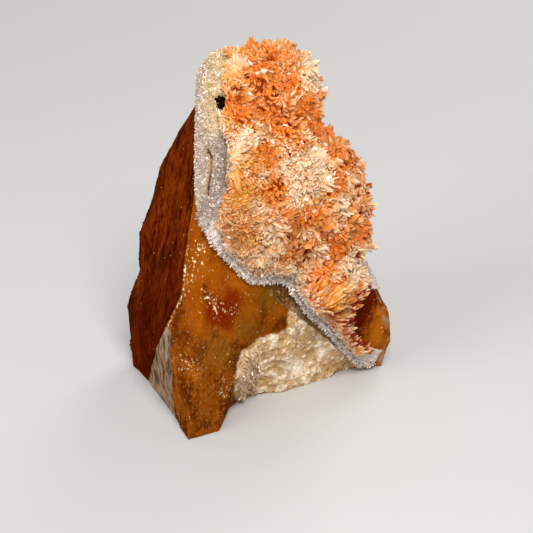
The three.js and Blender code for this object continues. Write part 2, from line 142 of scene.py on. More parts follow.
# Where painted shade darkens the crystals, low on the left.
PAINTED_SHADE_PATCHES = [(-8.0, 52.0, 9.0), (2.0, 42.0, 9.0), (11.0, 51.0, 9.0), (17.5, 64.0, 6.0)]
AMBER_PATCHES = [
    (-6.1, 64.9, 8.0), (-2.7, 73.6, 4.0), (-6.0, 47.0, 5.0), (24.0, 24.0, 6.0), (-9.0, 101.0, 4.0),
]
# Where dark red roots show between the blades: partly the crystals' own dark red, partly painted shade in the
# gaps.
DEEP_PATCHES = [
    (-6.1, 96.5, 4.0), (4.0, 96.5, 4.5), (11.8, 87.1, 4.0), (1.3, 108.6, 3.0), (9.8, 84.0, 4.0),
    (6.4, 65.9, 3.5), (29.3, 74.6, 5.0), (35.0, 66.2, 5.0), (31.0, 57.8, 5.0), (38.4, 51.0, 4.5),
    (32.7, 43.3, 4.0), (14.1, 47.0, 4.5), (19.2, 20.7, 3.0), (25.9, 25.1, 3.5), (31.6, 27.5, 4.5),
    (20.0, 33.0, 4.0),
]
# Stained and chipped places on the glassy front; painted glints gather on the chipped ones.
RED_STAINS = [(-12.5, 25.5, 5.5), (-9.0, 29.0, 4.0), (-10.5, 22.5, 3.5)]
OLIVE_STAINS = [(4.0, 31.0, 6.0), (-4.0, 20.0, 4.0), (-13.0, 12.0, 5.0)]
CHIPPED = [
    (-19.0, 46.0, 3.0), (-20.0, 41.0, 3.0), (-21.5, 36.5, 3.0), (-13.5, 27.5, 3.5), (-16.0, 30.0, 2.5),
    (-8.5, 25.0, 2.5), (-26.0, 31.0, 2.5), (-23.0, 8.0, 3.0), (-11.0, -1.0, 3.0), (-24.0, 38.5, 2.2),
]

# ---------------------------------------------------------------- sizes in millimetres, and shares
# Where the front of the block ends. Further back its surface is rugged and rusty.
FRONT_DEPTH = 14
# How far the borders between the stone's surfaces wander.
RAGGED = 1.2
# Below this height the rim is a narrow frosty edge, above it a broad strip.
LOW_RIM = 56
# The grains in the hollow stand above this height, and each stops somewhere between these depths.
GRAIN_FLOOR = 1.2
GRAIN_DEPTHS = (6, 16)
# How near a grain on the seam or the crust may come to another node.
GRAIN_CLEARANCE = 3
# How far beside the bared stone the crystals change, and where the blades there point.
PATCH_REACH = 3.5
OFF_PATCH = (1.0, 0.1, -0.2)
# The least length of a blade, how far it stays inside the model's box, and how deep its root is covered.
SHORTEST_BLADE = 0.45
BOX_MARGIN = 0.5
ROOT_COVER = 0.25
# The top of the pale facet, and where the left edge of the front is chipped: how far across, and how high.
FACET_TOP = 34
CHIPPED_EDGE_END = -17
CHIPPED_EDGE_HEIGHT = 46
# Shares: of the sprays' middles kept, of the blades left out well inside, and of the blades set on edge.
SPRAYS_KEPT = 0.65
BLADES_LEFT_OUT = 0.35
BLADES_ON_EDGE = 0.25
# A spray's radius, in distances between sprays.
SPRAY_RADIUS = 0.62
# Faces that meet at less than this angle are shaded as one.
SMOOTH_ANGLE = math.radians(50)
# The blades' shapes: how far up the shoulder sits, how wide the end is, and how far it leans.
BLADE_SHAPES = [(0.80, 0.85, 0.9), (0.88, 1.0, -0.6), (0.72, 0.6, 0.5)]
# The blades' pieces, each from one height to another.
BLADE_PIECES = {
    "crown_blades": (88, 999), "shoulder_blades": (72, 88),
    "cluster_blades": (54, 72), "fan_blades": (-99, 54),
}
# Rounds of smoothing: the flat left face, the whole block, its back, the seam, and the crystals' roots.
FACE_ROUNDS, BLOCK_ROUNDS, BACK_ROUNDS, SEAM_ROUNDS, ROOT_ROUNDS = 150, 3, 40, 3, 30

# ---------------------------------------------------------------- the studio
# Each lamp's place and width, in metres.
LAMPS = {"key": ((0.15, -0.85, 1.0), 0.5), "fill": ((-0.75, -0.7, 0.5), 0.6), "back": ((0.4, 0.8, 0.7), 0.5)}
LAMP_AIM_HEIGHT = 60
CAMERA_AIM = (2.846, 1.298, 44)
CAMERA_DISTANCE = 0.8
FLOOR_WIDTH = 6


# ---------------------------------------------------------------- settings
def length(name, description, millimetres):
    """A size, given in millimetres and kept in metres."""
    return FloatProperty(
        name=name, description=description, default=millimetres * MM, min=0.0, max=LONGEST * MM,
        subtype="DISTANCE", unit="LENGTH", precision=5,
    )


def colour(name, description, rgb):
    """A colour, given as red, green and blue light from 0 to 1."""
    return FloatVectorProperty(
        name=name, description=description, default=rgb, size=3, min=0.0, max=1.0, subtype="COLOR",
    )


def amount(name, description, default, high=100.0):
    return FloatProperty(name=name, description=description, default=default, min=0.0, max=high)


def power(name, description, watts):
    return FloatProperty(name=name, description=description, default=watts, min=0.0, unit="POWER")


class MatrixSettings(bpy.types.PropertyGroup):
    voxel: length("Surface grain", "Spacing of the stone's mesh", 0.64)
    undulation: length("Undulation", "Height of the broad waves of the broken faces", 0.5)
    chips: length("Chips", "Depth of the chips in the broken faces", 0.5)
    striation: length("Striation", "Depth of the striations on the flat left face", 0.35)
    sugar: length("Sugar", "Height of the sugary lumps in the hollow", 1.5)
    honey: colour("Honey", "Glassy amber of the front", (0.235, 0.051, 0.002))
    bright: colour("Bright honey", "Lit clouds of the front", (0.30, 0.071, 0.003))
    brown: colour("Brown", "Dark clouds of the front", (0.105, 0.018, 0.001))
    red: colour("Red", "Red stain on the front", (0.17, 0.012, 0.001))
    olive: colour("Olive", "Olive tone below the rim", (0.17, 0.070, 0.005))
    face: colour("Left face", "Red-brown of the flat left face", (0.055, 0.0035, 0.0006))
    face_band: colour("Left face bands", "Ochre bands of the flat left face", (0.155, 0.025, 0.002))
    cream: colour("Cream", "Sugary calcite of the hollow", (0.62, 0.385, 0.195))
    white: colour("White", "White lumps of the hollow", (0.92, 0.79, 0.60))
    ochre: colour("Ochre", "Stain between the cream grains", (0.34, 0.16, 0.035))
    back: colour("Back", "Rough back of the block", (0.15, 0.045, 0.007))
    sand: colour("Sand", "Dusty scars on the back", (0.36, 0.20, 0.09))
    patch: colour("Bare patch", "Amber of the bared stone", (0.44, 0.120, 0.006))
    patch_red: colour("Bare patch red", "Dark red of the bared stone's upper left", (0.10, 0.008, 0.001))
    beige: colour("Beige", "Sandy edge beside the bared stone", (0.34, 0.22, 0.13))
    # Painted shade and painted light, mottled together in the groove under the rim.
    groove_painted_shade: colour("Groove shade", "Dark soil in the groove under the rim", (0.06, 0.028, 0.008))
    groove_painted_light: colour("Groove", "Lit soil in the groove under the rim", (0.17, 0.085, 0.025))
    grey: colour("Grey", "Grey clouds in the hollow", (0.36, 0.26, 0.18))
    chamfer_dark: colour("Facet streaks", "Dark streaks of the pale facet", (0.055, 0.024, 0.009))
    chamfer_pale: colour("Facet", "Pale stone of the facet low on the left", (0.34, 0.235, 0.155))
    # Painted highlight: glints on chips of the glassy front and sparks on the left face.
    painted_chip_glint: colour("Flecks", "Bright chips on the front and sparks on the left face", (0.98, 0.76, 0.38))
    # Painted shade: near black on the stone behind the pit.
    pit: colour("Pit", "Dark stone behind the pit", (0.012, 0.004, 0.001))


class SeamSettings(bpy.types.PropertyGroup):
    voxel: length("Surface grain", "Spacing of the seam's mesh", 0.5)
    druse: length("Druse", "Height of the druse's bumps", 0.35)
    grain_size: length("Grain size", "Size of one sparkling grain", 0.6)
    grain_spacing: length("Grain spacing", "Distance between the grains", 0.46)
    pale: colour("Pale", "Grey-white of the druse", (0.48, 0.38, 0.30))
    yellow: colour("Yellow", "Cream-yellow of the strip's top", (0.66, 0.47, 0.25))
    lilac: colour("Lilac", "Lilac tone of the inner band and the rim", (0.335, 0.25, 0.205))
    grey: colour("Grey", "Shaded hollows of the druse", (0.19, 0.13, 0.075))
    frost: colour("Frost", "White of the lower rim", (0.71, 0.61, 0.55))
    sugar: colour("Sugar", "Grains in the hollow", (0.60, 0.40, 0.23))
    white: colour("White", "Bright grains", (0.85, 0.78, 0.70))
    crack: colour("Crack", "Dark line along the strip", (0.035, 0.014, 0.005))
    stain: colour("Stain", "Ochre beside the crack", (0.30, 0.15, 0.03))


class CrustSettings(bpy.types.PropertyGroup):
    voxel: length("Core grain", "Spacing of the mesh under the blades", 0.8)
    sink: length("Sink", "How far the core lies below the crust's outer form", 1.0)
    spray_spacing: length("Spray spacing", "Distance between the middles of the sprays", 4.6)
    spray_depth: length("Spray depth", "How deep the point lies from which a spray's blades spread", 4.5)
    blade_spacing: length("Blade spacing", "Distance between neighbouring blades", 0.66)
    blade_length: length("Blade length", "How far a long blade stands out", 3.1)
    blade_width: length("Blade width", "Width of a broad blade", 2.3)
    blade_thickness: length("Blade thickness", "Thickness of a broad blade", 1.2)
    least_lift: FloatProperty(name="Least lift", description="How steeply the flattest blades stand up",
                              default=0.4, min=0.1, max=1.0)
    # Painted glow: the blades' roots give off light of their own, for light passed through the crystals.
    painted_glow_strength: amount(
        "Inner light", "How strongly light that has passed the crystals shines in the gaps", 0.14, 1)
    seed: IntProperty(name="Seed", description="Picks the places and sizes of the blades", default=5, min=0)
    # Deep: dark red of the gaps between the blades, partly the crystals' own colour, partly painted shade.
    deep: colour("Deep", "Dark red of the deepest gaps", (0.28, 0.018, 0.002))
    # Painted glow: the orange of the blades' roots, for light passed through the crystals.
    glow: colour("Glow", "Orange that shows between the blades", (0.80, 0.20, 0.012))
    orange: colour("Orange", "Saturated orange of the warm patches", (0.87, 0.225, 0.016))
    amber: colour("Amber", "Yellower tone beside the seam", (0.80, 0.35, 0.03))
    peach: colour("Peach", "Peach of most blades", (0.87, 0.355, 0.072))
    # Painted glow: the warm roots in the pale patches, for light passed through the crystals.
    blush: colour("Blush", "Warm glow deep in the pale patches", (0.93, 0.46, 0.15))
    # Painted shade: a darker tone for the crystals low on the left, where less light falls.
    painted_shade_tone: colour("Dusk", "Duskier tone low on the left", (0.46, 0.19, 0.06))
    cream: colour("Cream", "Cream of the pale patches", (0.92, 0.66, 0.42))
    fringe: colour("Fringe", "Beige of the fibres inside the lower rim", (0.52, 0.35, 0.21))
    tip: colour("Tip", "Pale blade tips", (1.0, 0.81, 0.57))
    # Painted highlight: white on the few brightest tips.
    painted_glint: colour("Glint", "White of the few brightest tips", (1.0, 0.96, 0.9))
    # Painted shade on the crystals' roots in the pit.
    pit: colour("Pit", "Dark of the crystals' roots in the pit", (0.02, 0.006, 0.002))


class StageSettings(bpy.types.PropertyGroup):
    key_power: power("Key", "Power of the key light", 15.0)
    fill_power: power("Fill", "Power of the fill light", 6.0)
    back_power: power("Back", "Power of the back light", 4.0)
    sky: amount("Sky", "Strength of the light from all sides", 0.3)
    floor: colour("Floor", "Colour of the floor", (0.60, 0.59, 0.575))
    floor_cloud: colour("Floor clouds", "Faint clouds on the floor", (0.4, 0.4, 0.4))
    lens: FloatProperty(name="Lens", description="Focal length", default=158.92, min=10, unit="CAMERA")


# ---------------------------------------------------------------- node maths
class Field:
    """A node's output that takes part in Python arithmetic."""

    def __init__(self, graph, socket):
        self.graph = graph
        self.socket = socket

    def __add__(self, other):
        return self.graph.math("ADD", self, other)

    def __sub__(self, other):
        return self.graph.math("SUBTRACT", self, other)

    def __rsub__(self, other):
        return self.graph.math("SUBTRACT", other, self)

    def __mul__(self, other):
        return self.graph.math("MULTIPLY", self, other)

    __radd__ = __add__
    __rmul__ = __mul__


class Graph:
    """Adds nodes to one node tree, for a surface's form or its finish alike."""

    def __init__(self, tree):
        self.tree = tree
        self.shapes = tree.bl_idname == "GeometryNodeTree"

    def node(self, kind, settings=None, inputs=None, output=0):
        node = self.tree.nodes.new(kind)
        for name, value in (settings or {}).items():
            setattr(node, name, value)
        for key, value in (inputs or {}).items():
            if isinstance(value, Field):
                self.tree.links.new(value.socket, node.inputs[key])
            else:
                node.inputs[key].default_value = value
        return Field(self, node.outputs[output])

    def math(self, operation, *values):
        return self.node("ShaderNodeMath", {"operation": operation}, dict(enumerate(values)))

    def vector(self, operation, inputs):
        return self.node("ShaderNodeVectorMath", {"operation": operation}, inputs)

    def position(self):
        if self.shapes:
            return self.node("GeometryNodeInputPosition")
        return self.node("ShaderNodeTexCoord", output="Object")

    def attribute(self, name):
        if self.shapes:
            return self.node("GeometryNodeInputNamedAttribute", {"data_type": "FLOAT"}, {"Name": name})
        return self.node("ShaderNodeAttribute", {"attribute_name": name}, output="Fac")

    def striated(self):
        """Places on the flat left face, straightened so that its curved striations run along z."""
        z = self.node("ShaderNodeSeparateXYZ", {}, {"Vector": self.position()}, 2)
        beside = self.attribute("striation") * MM
        return self.node("ShaderNodeCombineXYZ", {}, {"X": 0.0, "Y": beside, "Z": z})

    def noise(self, size, detail=3.0, stretch=(1, 1, 1), roughness=0.55, place=None):
        """Noise from 0 to 1 with lumps of that size, longer along each axis by stretch."""
        scaled = self.vector("DIVIDE", {0: place or self.position(), 1: stretch})
        inputs = {"Vector": scaled, "Scale": 1 / size, "Detail": detail, "Roughness": roughness}
        return self.node("ShaderNodeTexNoise", {}, inputs)

    def cells(self, size, feature="F1"):
        """Distance to the nearest of scattered points, in sizes."""
        inputs = {"Vector": self.position(), "Scale": 1 / size}
        return self.node("ShaderNodeTexVoronoi", {"feature": feature}, inputs, "Distance")

    def step(self, value, low, high):
        """0 below low, 1 above high, smooth between. Low may be the larger."""
        inputs = {"Value": value, "From Min": low, "From Max": high, "To Min": 0.0, "To Max": 1.0}
        return self.node("ShaderNodeMapRange", {"interpolation_type": "SMOOTHSTEP"}, inputs)

    def mix(self, factor, first, second):
        """The first colour where the factor is 0, the second where it is 1."""
        settings = {"data_type": "RGBA", "clamp_factor": True}
        return self.node("ShaderNodeMix", settings, {0: factor, 6: rgba(first), 7: rgba(second)}, output=2)

    def shade(self, tint, value):
        """A colour made lighter or darker by a number."""
        return self.vector("SCALE", {0: tint, "Scale": value})

    def bump(self, height, distance, strength=1.0):
        return self.node("ShaderNodeBump", {}, {"Height": height, "Distance": distance, "Strength": strength})


def rgba(value):
    return value if isinstance(value, Field) else (*value[:3], 1.0)


def finish(name, paint_sockets, **fixed):
    """A surface shader. paint_sockets(graph) gives its varying sockets; fixed values go on the shader."""
    material = bpy.data.materials.new(name)
    material.use_nodes = True
    shader = material.node_tree.nodes["Principled BSDF"]
    for socket, value in fixed.items():
        shader.inputs[socket.replace("_", " ")].default_value = value
    graph = Graph(material.node_tree)
    for socket, value in paint_sockets(graph).items():
        graph.tree.links.new(value.socket, shader.inputs[socket])
    return material


# ---------------------------------------------------------------- modelling
def select_only(piece):
    """Leaves edit mode, and selects this piece and nothing else."""
    if bpy.context.object and bpy.context.object.mode != "OBJECT":
        bpy.ops.object.mode_set(mode="OBJECT")
    bpy.ops.object.select_all(action="DESELECT")
    piece.select_set(True)
    bpy.context.view_layer.objects.active = piece


def copy_of_node(node, name):
    """A new piece with the node's mesh, its doubles merged."""
    piece = bpy.data.objects.new(name, frame["nodes"][node].data.copy())
    piece.data.name = name
    piece.data.materials.clear()
    bpy.context.scene.collection.objects.link(piece)
    select_only(piece)
    bpy.ops.object.mode_set(mode="EDIT")
    bpy.ops.mesh.select_all(action="SELECT")
    bpy.ops.mesh.remove_doubles(threshold=0.001 * MM)
    bpy.ops.object.mode_set(mode="OBJECT")
    return piece


def modify(piece, kind, **settings):
    """Adds a modifier with these settings and applies it."""
    select_only(piece)
    modifier = piece.modifiers.new(kind.title(), kind)
    for name, value in settings.items():
        setattr(modifier, name, value)
    bpy.ops.object.modifier_apply(modifier=modifier.name)


def carve(piece, height_of):
    """Moves a piece's surface out along its normals by the height that height_of(graph) gives."""
    tree = bpy.data.node_groups.new(piece.name + "_form", "GeometryNodeTree")
    tree.interface.new_socket("Geometry", in_out="INPUT", socket_type="NodeSocketGeometry")
    tree.interface.new_socket("Geometry", in_out="OUTPUT", socket_type="NodeSocketGeometry")
    graph = Graph(tree)
    source = Field(graph, tree.nodes.new("NodeGroupInput").outputs[0])
    normal = graph.node("GeometryNodeInputNormal")
    offset = graph.vector("SCALE", {0: normal, "Scale": height_of(graph)})
    moved = graph.node("GeometryNodeSetPosition", {}, {"Geometry": source, "Offset": offset})
    tree.links.new(moved.socket, tree.nodes.new("NodeGroupOutput").inputs[0])
    modify(piece, "NODES", node_group=tree)


def remeshed_copy(node, name, voxel):
    """A new piece of the node's form, its surface divided into small even faces."""
    piece = copy_of_node(node, name)
    modify(piece, "REMESH", mode="VOXEL", voxel_size=voxel, use_smooth_shade=True)
    return piece


def drop_crumbs(piece):
    """Deletes every island of a piece but the one that its middle vertex belongs to."""
    places = read(piece)
    middle = int(np.argmin(np.linalg.norm(places - places.mean(axis=0), axis=1)))
    select_only(piece)
    bpy.ops.object.mode_set(mode="EDIT")
    bpy.ops.mesh.select_mode(type="VERT")
    bpy.ops.mesh.select_all(action="DESELECT")
    bpy.ops.object.mode_set(mode="OBJECT")
    piece.data.vertices[middle].select = True
    bpy.ops.object.mode_set(mode="EDIT")
    bpy.ops.mesh.select_linked()
    bpy.ops.mesh.select_all(action="INVERT")
    bpy.ops.mesh.delete(type="VERT")
    bpy.ops.object.mode_set(mode="OBJECT")


def smooth_where(piece, chosen, rounds):
    """Evens out the surface at the chosen vertices."""
    group = piece.vertex_groups.new(name="evened")
    group.add(np.flatnonzero(chosen).tolist(), 1.0, "REPLACE")
    modify(piece, "SMOOTH", factor=0.8, iterations=rounds, vertex_group="evened")
    piece.vertex_groups.clear()


def smooth_all(piece, rounds):
    """Evens out the whole surface."""
    smooth_where(piece, np.full(len(piece.data.vertices), True), rounds)


def read(piece, what="co"):
    """The places or the normals of a piece's vertices, as rows."""
    mesh = piece.data
    rows = np.empty(len(mesh.vertices) * 3, np.float32)
    if what == "co":
        mesh.vertices.foreach_get("co", rows)
    else:
        mesh.vertex_normals.foreach_get("vector", rows)
    return rows.reshape(-1, 3).astype(float)


def write(piece, places):
    """Moves a piece's vertices to these places, held inside the model's box."""
    rows = np.clip(places, CAD_BOX[0], CAD_BOX[1])
    piece.data.vertices.foreach_set("co", rows.astype(np.float32).ravel())
    piece.data.update()


def paint(piece, **fields):
    """Stores a number at each vertex for every named field."""
    for name, values in fields.items():
        layer = piece.data.attributes.new(name, "FLOAT", "POINT")
        layer.data.foreach_set("value", np.asarray(values, np.float32))


def joined_mesh(name, places, faces, material):
    """A piece from points and faces, held inside the model's box."""
    mesh = bpy.data.meshes.new(name)
    mesh.from_pydata(np.clip(places, CAD_BOX[0], CAD_BOX[1]), [], faces)
    mesh.update()
    piece = bpy.data.objects.new(name, mesh)
    bpy.context.scene.collection.objects.link(piece)
    mesh.materials.append(material)
    return piece


def settle(piece, node):
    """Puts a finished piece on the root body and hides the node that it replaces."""
    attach(piece, "root")
    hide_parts(node)


# ---------------------------------------------------------------- measures
def unit(rows):
    """Each row made one unit long."""
    return rows / np.linalg.norm(rows, axis=1)[:, None]


def vectors(rows):
    return [Vector(row) for row in rows]


def clouds_at(places, size):
    """Clouds of noise around 0 at each place, that many millimetres wide."""
    return np.array([noise.fractal(place / (size * MM), 0.8, 2.0, 3) for place in vectors(places)])


def spots_at(places, size):
    """Plain noise around 0 at each place, with spots that many millimetres wide."""
    return np.array([noise.noise(place / (size * MM)) for place in vectors(places)])


def on_rim_plane(places):
    """How far across and how far up the slanted plane each place lies, in millimetres."""
    across = places[:, 0] / MM
    up = (places[:, 2] * math.cos(TILT) + places[:, 1] * math.sin(TILT)) / MM
    return across, up


def distance_to_line(across, up, line):
    """The distance from each point to a line of several straight stretches."""
    best = np.full(len(across), 1e9)
    for (ax, ay), (bx, by) in zip(line, line[1:]):
        dx, dy = bx - ax, by - ay
        t = np.clip(((across - ax) * dx + (up - ay) * dy) / (dx * dx + dy * dy), 0, 1)
        best = np.minimum(best, np.hypot(across - ax - t * dx, up - ay - t * dy))
    return best


def depth_inside(across, up, outline):
    """How deep each point lies inside an outline; below 0 outside."""
    inside = np.zeros(len(across), bool)
    for (ax, ay), (bx, by) in zip(outline, outline[1:] + outline[:1]):
        if ay != by:
            crosses = (ay > up) != (by > up)
            inside ^= crosses & (across < (bx - ax) * (up - ay) / (by - ay) + ax)
    distance = distance_to_line(across, up, outline + outline[:1])
    return np.where(inside, distance, -distance)


def from_rim(across, up):
    """How far inside the rim's outer edge each point lies; below 0 outside."""
    return depth_inside(across, up, RIM + [(70.0, 5.1), (70.0, 170.0), (RIM[0][0], 170.0)])


def inward(across, up):
    """The direction straight away from the rim at each point, along the slanted plane."""
    reach = 0.5
    sideways = from_rim(across + reach, up) - from_rim(across - reach, up)
    upward = from_rim(across, up + reach) - from_rim(across, up - reach)
    rows = np.stack([sideways, upward * math.sin(TILT), upward * math.cos(TILT)], axis=1)
    return rows / np.maximum(np.linalg.norm(rows, axis=1), 1e-6)[:, None]


def nearness(across, up, patches):
    """1 in the middle of a patch, falling to 0 well outside all of them."""
    total = np.zeros(len(across))
    for x, y, radius in patches:
        total = np.maximum(total, np.exp(-((across - x) ** 2 + (up - y) ** 2) / radius**2))
    return total


def beside_patch(across, up):
    """1 on the bared stone, falling to 0 a little way outside it."""
    return np.clip(1 + depth_inside(across, up, BARE_PATCH) / PATCH_REACH, 0, 1)


def tree_of_mesh(mesh):
    """A mesh's faces, sorted so that the nearest one is found quickly."""
    return BVHTree.FromPolygons([v.co for v in mesh.vertices], [p.vertices[:] for p in mesh.polygons])


def tree_of(node):
    return tree_of_mesh(frame["nodes"][node].data)


def faces_node(places, normals, tree, reach):
    """True where a ray along the normal meets the node within the reach."""
    rays = zip(vectors(places), vectors(normals))
    return np.array([tree.ray_cast(place, normal, reach)[0] is not None for place, normal in rays])


def edge_distance(places, edge):
    """How far behind an edge of (height, depth) points each place lies, in millimetres."""
    heights, depths = zip(*edge)
    return places[:, 1] / MM - np.interp(places[:, 2] / MM, heights, depths)


# ---------------------------------------------------------------- many small pieces
def scattered(piece, spacing, seed, keep):
    """Places and normals spread evenly over a piece's surface, where keep(places, normals) allows them."""
    mesh = piece.data
    mesh.calc_loop_triangles()
    corners = np.empty(len(mesh.loop_triangles) * 3, np.int32)
    mesh.loop_triangles.foreach_get("vertices", corners)
    triangles = read(piece)[corners.reshape(-1, 3)]
    a, b, c = triangles[:, 0], triangles[:, 1], triangles[:, 2]
    crosses = np.cross(b - a, c - a)
    areas = np.linalg.norm(crosses, axis=1) / 2
    random = np.random.default_rng(seed)
    count = int(areas.sum() / spacing**2 * 5)
    picked = random.choice(len(areas), count, p=areas / areas.sum())
    u, v = np.sqrt(random.random(count)), random.random(count)
    places = (1 - u)[:, None] * a[picked] + (u * (1 - v))[:, None] * b[picked] + (u * v)[:, None] * c[picked]
    normals = crosses[picked] / (2 * areas[picked])[:, None]
    kept = keep(places, normals)
    return thinned(places[kept], normals[kept], spacing)


def thinned(places, normals, spacing):
    """Drops every place that lies nearer than spacing to one kept before it."""
    cells = {}
    kept = []
    rows = (places / spacing).tolist()
    for i, (x, y, z) in enumerate(rows):
        cx, cy, cz = math.floor(x), math.floor(y), math.floor(z)
        near = [j for dx in (-1, 0, 1) for dy in (-1, 0, 1) for dz in (-1, 0, 1)
                for j in cells.get((cx + dx, cy + dy, cz + dz), ())]
        if all((rows[j][0] - x) ** 2 + (rows[j][1] - y) ** 2 + (rows[j][2] - z) ** 2 > 1 for j in near):
            cells.setdefault((cx, cy, cz), []).append(i)
            kept.append(i)
    return places[kept], normals[kept]


def square_to(outs, spins, helper=None):
    """Two directions square to each of these and to each other, turned by a spin from a helper's square."""
    if helper is None:
        helper = np.where(np.abs(outs[:, 2:3]) < 0.9, [[0.0, 0.0, 1.0]], [[1.0, 0.0, 0.0]])
    first = unit(np.cross(helper, outs) + 1e-9)
    second = np.cross(outs, first)
    cos, sin = np.cos(spins)[:, None], np.sin(spins)[:, None]
    return cos * first + sin * second, cos * second - sin * first


def copies(masters, which, origins, sides, ups, outs):
    """Points and faces of many copies of the master shapes, each on its own three scaled directions."""
    shapes = np.stack([shape for shape, _ in masters])[which]
    faces = masters[0][1]
    rows = (origins[:, None, :] + shapes[:, :, 0:1] * sides[:, None, :]
            + shapes[:, :, 1:2] * ups[:, None, :] + shapes[:, :, 2:3] * outs[:, None, :])
    index = faces[None] + (np.arange(len(origins)) * shapes.shape[1])[:, None, None]
    return rows.reshape(-1, 3), index.reshape(-1, 3)


def shape_of(piece):
    """The points and triangles of a small modelled shape, which is then taken away."""
    select_only(piece)
    bpy.ops.object.mode_set(mode="EDIT")
    bpy.ops.mesh.select_all(action="SELECT")
    bpy.ops.mesh.quads_convert_to_tris()
    bpy.ops.object.mode_set(mode="OBJECT")
    shape = read(piece)
    faces = np.array([face.vertices[:] for face in piece.data.polygons])
    bpy.data.meshes.remove(piece.data)
    return shape, faces


def edit_where(piece, chosen):
    """Opens a piece in edit mode with only the vertices selected that chosen(place) picks."""
    select_only(piece)
    bpy.ops.object.mode_set(mode="EDIT")
    bpy.ops.mesh.select_mode(type="VERT")
    bpy.ops.mesh.select_all(action="DESELECT")
    bpy.ops.object.mode_set(mode="OBJECT")
    for vertex in piece.data.vertices:
        vertex.select = chosen(vertex.co)
    bpy.ops.object.mode_set(mode="EDIT")


def model_blade(shoulder, narrow, lean):
    """One flat blade along +Z, a unit long, wide and thick: it widens, then narrows to a slanted edge."""
    bpy.ops.object.select_all(action="DESELECT")
    bpy.ops.mesh.primitive_cube_add(size=1, location=(0, 0, 0.5))
    piece = bpy.context.object
    bpy.ops.object.transform_apply(location=True, rotation=True, scale=True)
    edit_where(piece, lambda place: place.z > 0.5)
    bpy.ops.transform.translate(value=(0, 0, shoulder - 1))
    bpy.ops.mesh.extrude_region_move(TRANSFORM_OT_translate={"value": (0, 0, 1 - shoulder)})
    bpy.ops.transform.resize(value=(narrow, 0.4, 1), center_override=(0.12 * lean, 0, 1))
    bpy.ops.transform.rotate(value=math.radians(28 * lean), orient_axis="Y", center_override=(0, 0, 0.95))
    edit_where(piece, lambda place: place.z < 0.1)
    bpy.ops.transform.resize(value=(0.7, 0.8, 1), center_override=(0, 0, 0))
    return shape_of(piece)


def model_grain():
    """A stubby crystal grain: a block with a narrower, tilted end."""
    bpy.ops.object.select_all(action="DESELECT")
    bpy.ops.mesh.primitive_cube_add(size=1, location=(0, 0, 0.25))
    piece = bpy.context.object
    bpy.ops.object.transform_apply(location=True, rotation=True, scale=True)
    edit_where(piece, lambda place: place.z > 0.5)
    bpy.ops.transform.resize(value=(0.45, 0.6, 1), center_override=(0.1, 0, 0.75))
    bpy.ops.transform.rotate(value=math.radians(20), orient_axis="Y", center_override=(0, 0, 0.75))
    return shape_of(piece)


# ---------------------------------------------------------------- the stone
def stone_masks(graph):
    """Where the left face, the hollow, the rugged back and the pale facet lie, with wandering borders."""
    wander = RAGGED * 2 * (graph.noise(3.5 * MM, 4) - 0.5)
    left = graph.step(graph.attribute("left_facing"), 0.76, 0.86)
    behind = graph.step(graph.attribute("behind_edge") + 0.5 * wander, -0.4, 0.3)
    hollow = graph.step(graph.attribute("hollow") + 1.4 * wander, -0.5, 0.5)
    rough = graph.step(graph.attribute("backward") + 0.15 * wander, -0.05, 0.35)
    chamfer = left * (1 - behind) * graph.step(graph.attribute("chamfer") + 1.5 * wander, -0.6, 0.6)
    return left * behind, hollow, rough, chamfer


def stone_form(graph, s):
    """How far the stone's surface stands out, in metres."""
    face, hollow, rough, chamfer = stone_masks(graph)
    waves = s.undulation * 2 * (graph.noise(11 * MM, 2) - 0.5)
    facets = s.chips * (graph.cells(6 * MM, "SMOOTH_F1") - 0.45)
    pits = 0.25 * MM * (graph.noise(1.6 * MM, 2) - 0.5)
    hewn = waves + facets + pits + 0.5 * MM * chamfer * (graph.noise(1.4 * MM, 3, (1, 1, 5)) - 0.5)
    straight = graph.striated()
    fine = graph.noise(1.7 * MM, 3, (1, 1, 14), 0.6, straight)
    broad = graph.noise(6 * MM, 2, (1, 1, 8), 0.5, straight)
    grooves = s.striation * (1.7 * (fine - 0.5) + 2.0 * (broad - 0.5))
    grains = graph.cells(1.1 * MM) - 0.45
    sugary = s.sugar * 1.6 * sugar_lumps(graph) + 0.35 * s.sugar * grains
    rugged = 3.6 * MM * (humps(graph) - 0.5) + 0.9 * MM * (graph.cells(4 * MM) - 0.5)
    front = hewn * (1 - hollow) + sugary * hollow
    height = grooves * face + (front * (1 - rough) + rugged * rough) * (1 - face)
    bare = graph.attribute("uncovered")
    return height * bare - 0.15 * MM * (1 - bare)


def humps(graph):
    """The rough humps and hollows of the block's back, from 0 to 1."""
    return graph.noise(10 * MM, 6, (1, 1, 0.7), 0.62)


def back_colour(graph, s):
    """Rusty brown with dark hollows and dusty scars."""
    form = humps(graph)
    rusty = graph.mix(graph.step(graph.noise(7 * MM, 8, roughness=0.7), 0.36, 0.66), s.back, s.honey)
    rusty = graph.mix(graph.step(form, 0.52, 0.36) * 0.8, rusty, s.brown)
    dust = graph.step(graph.noise(1.3 * MM, 7, roughness=0.8) + 0.5 * (form - 0.5), 0.58, 0.68)
    return graph.mix(dust * 0.45, rusty, s.sand)


def groove_colour(graph, s):
    """A brown band of painted shade and painted light, for a groove's dark floor and lit walls, with cream
    crumbs.
    """
    fine = graph.noise(1.0 * MM, 5, roughness=0.75)
    dark = graph.mix(graph.step(fine, 0.42, 0.55), s.groove_painted_shade, s.groove_painted_light)
    return graph.mix(graph.step(fine, 0.57, 0.66), dark, s.cream)


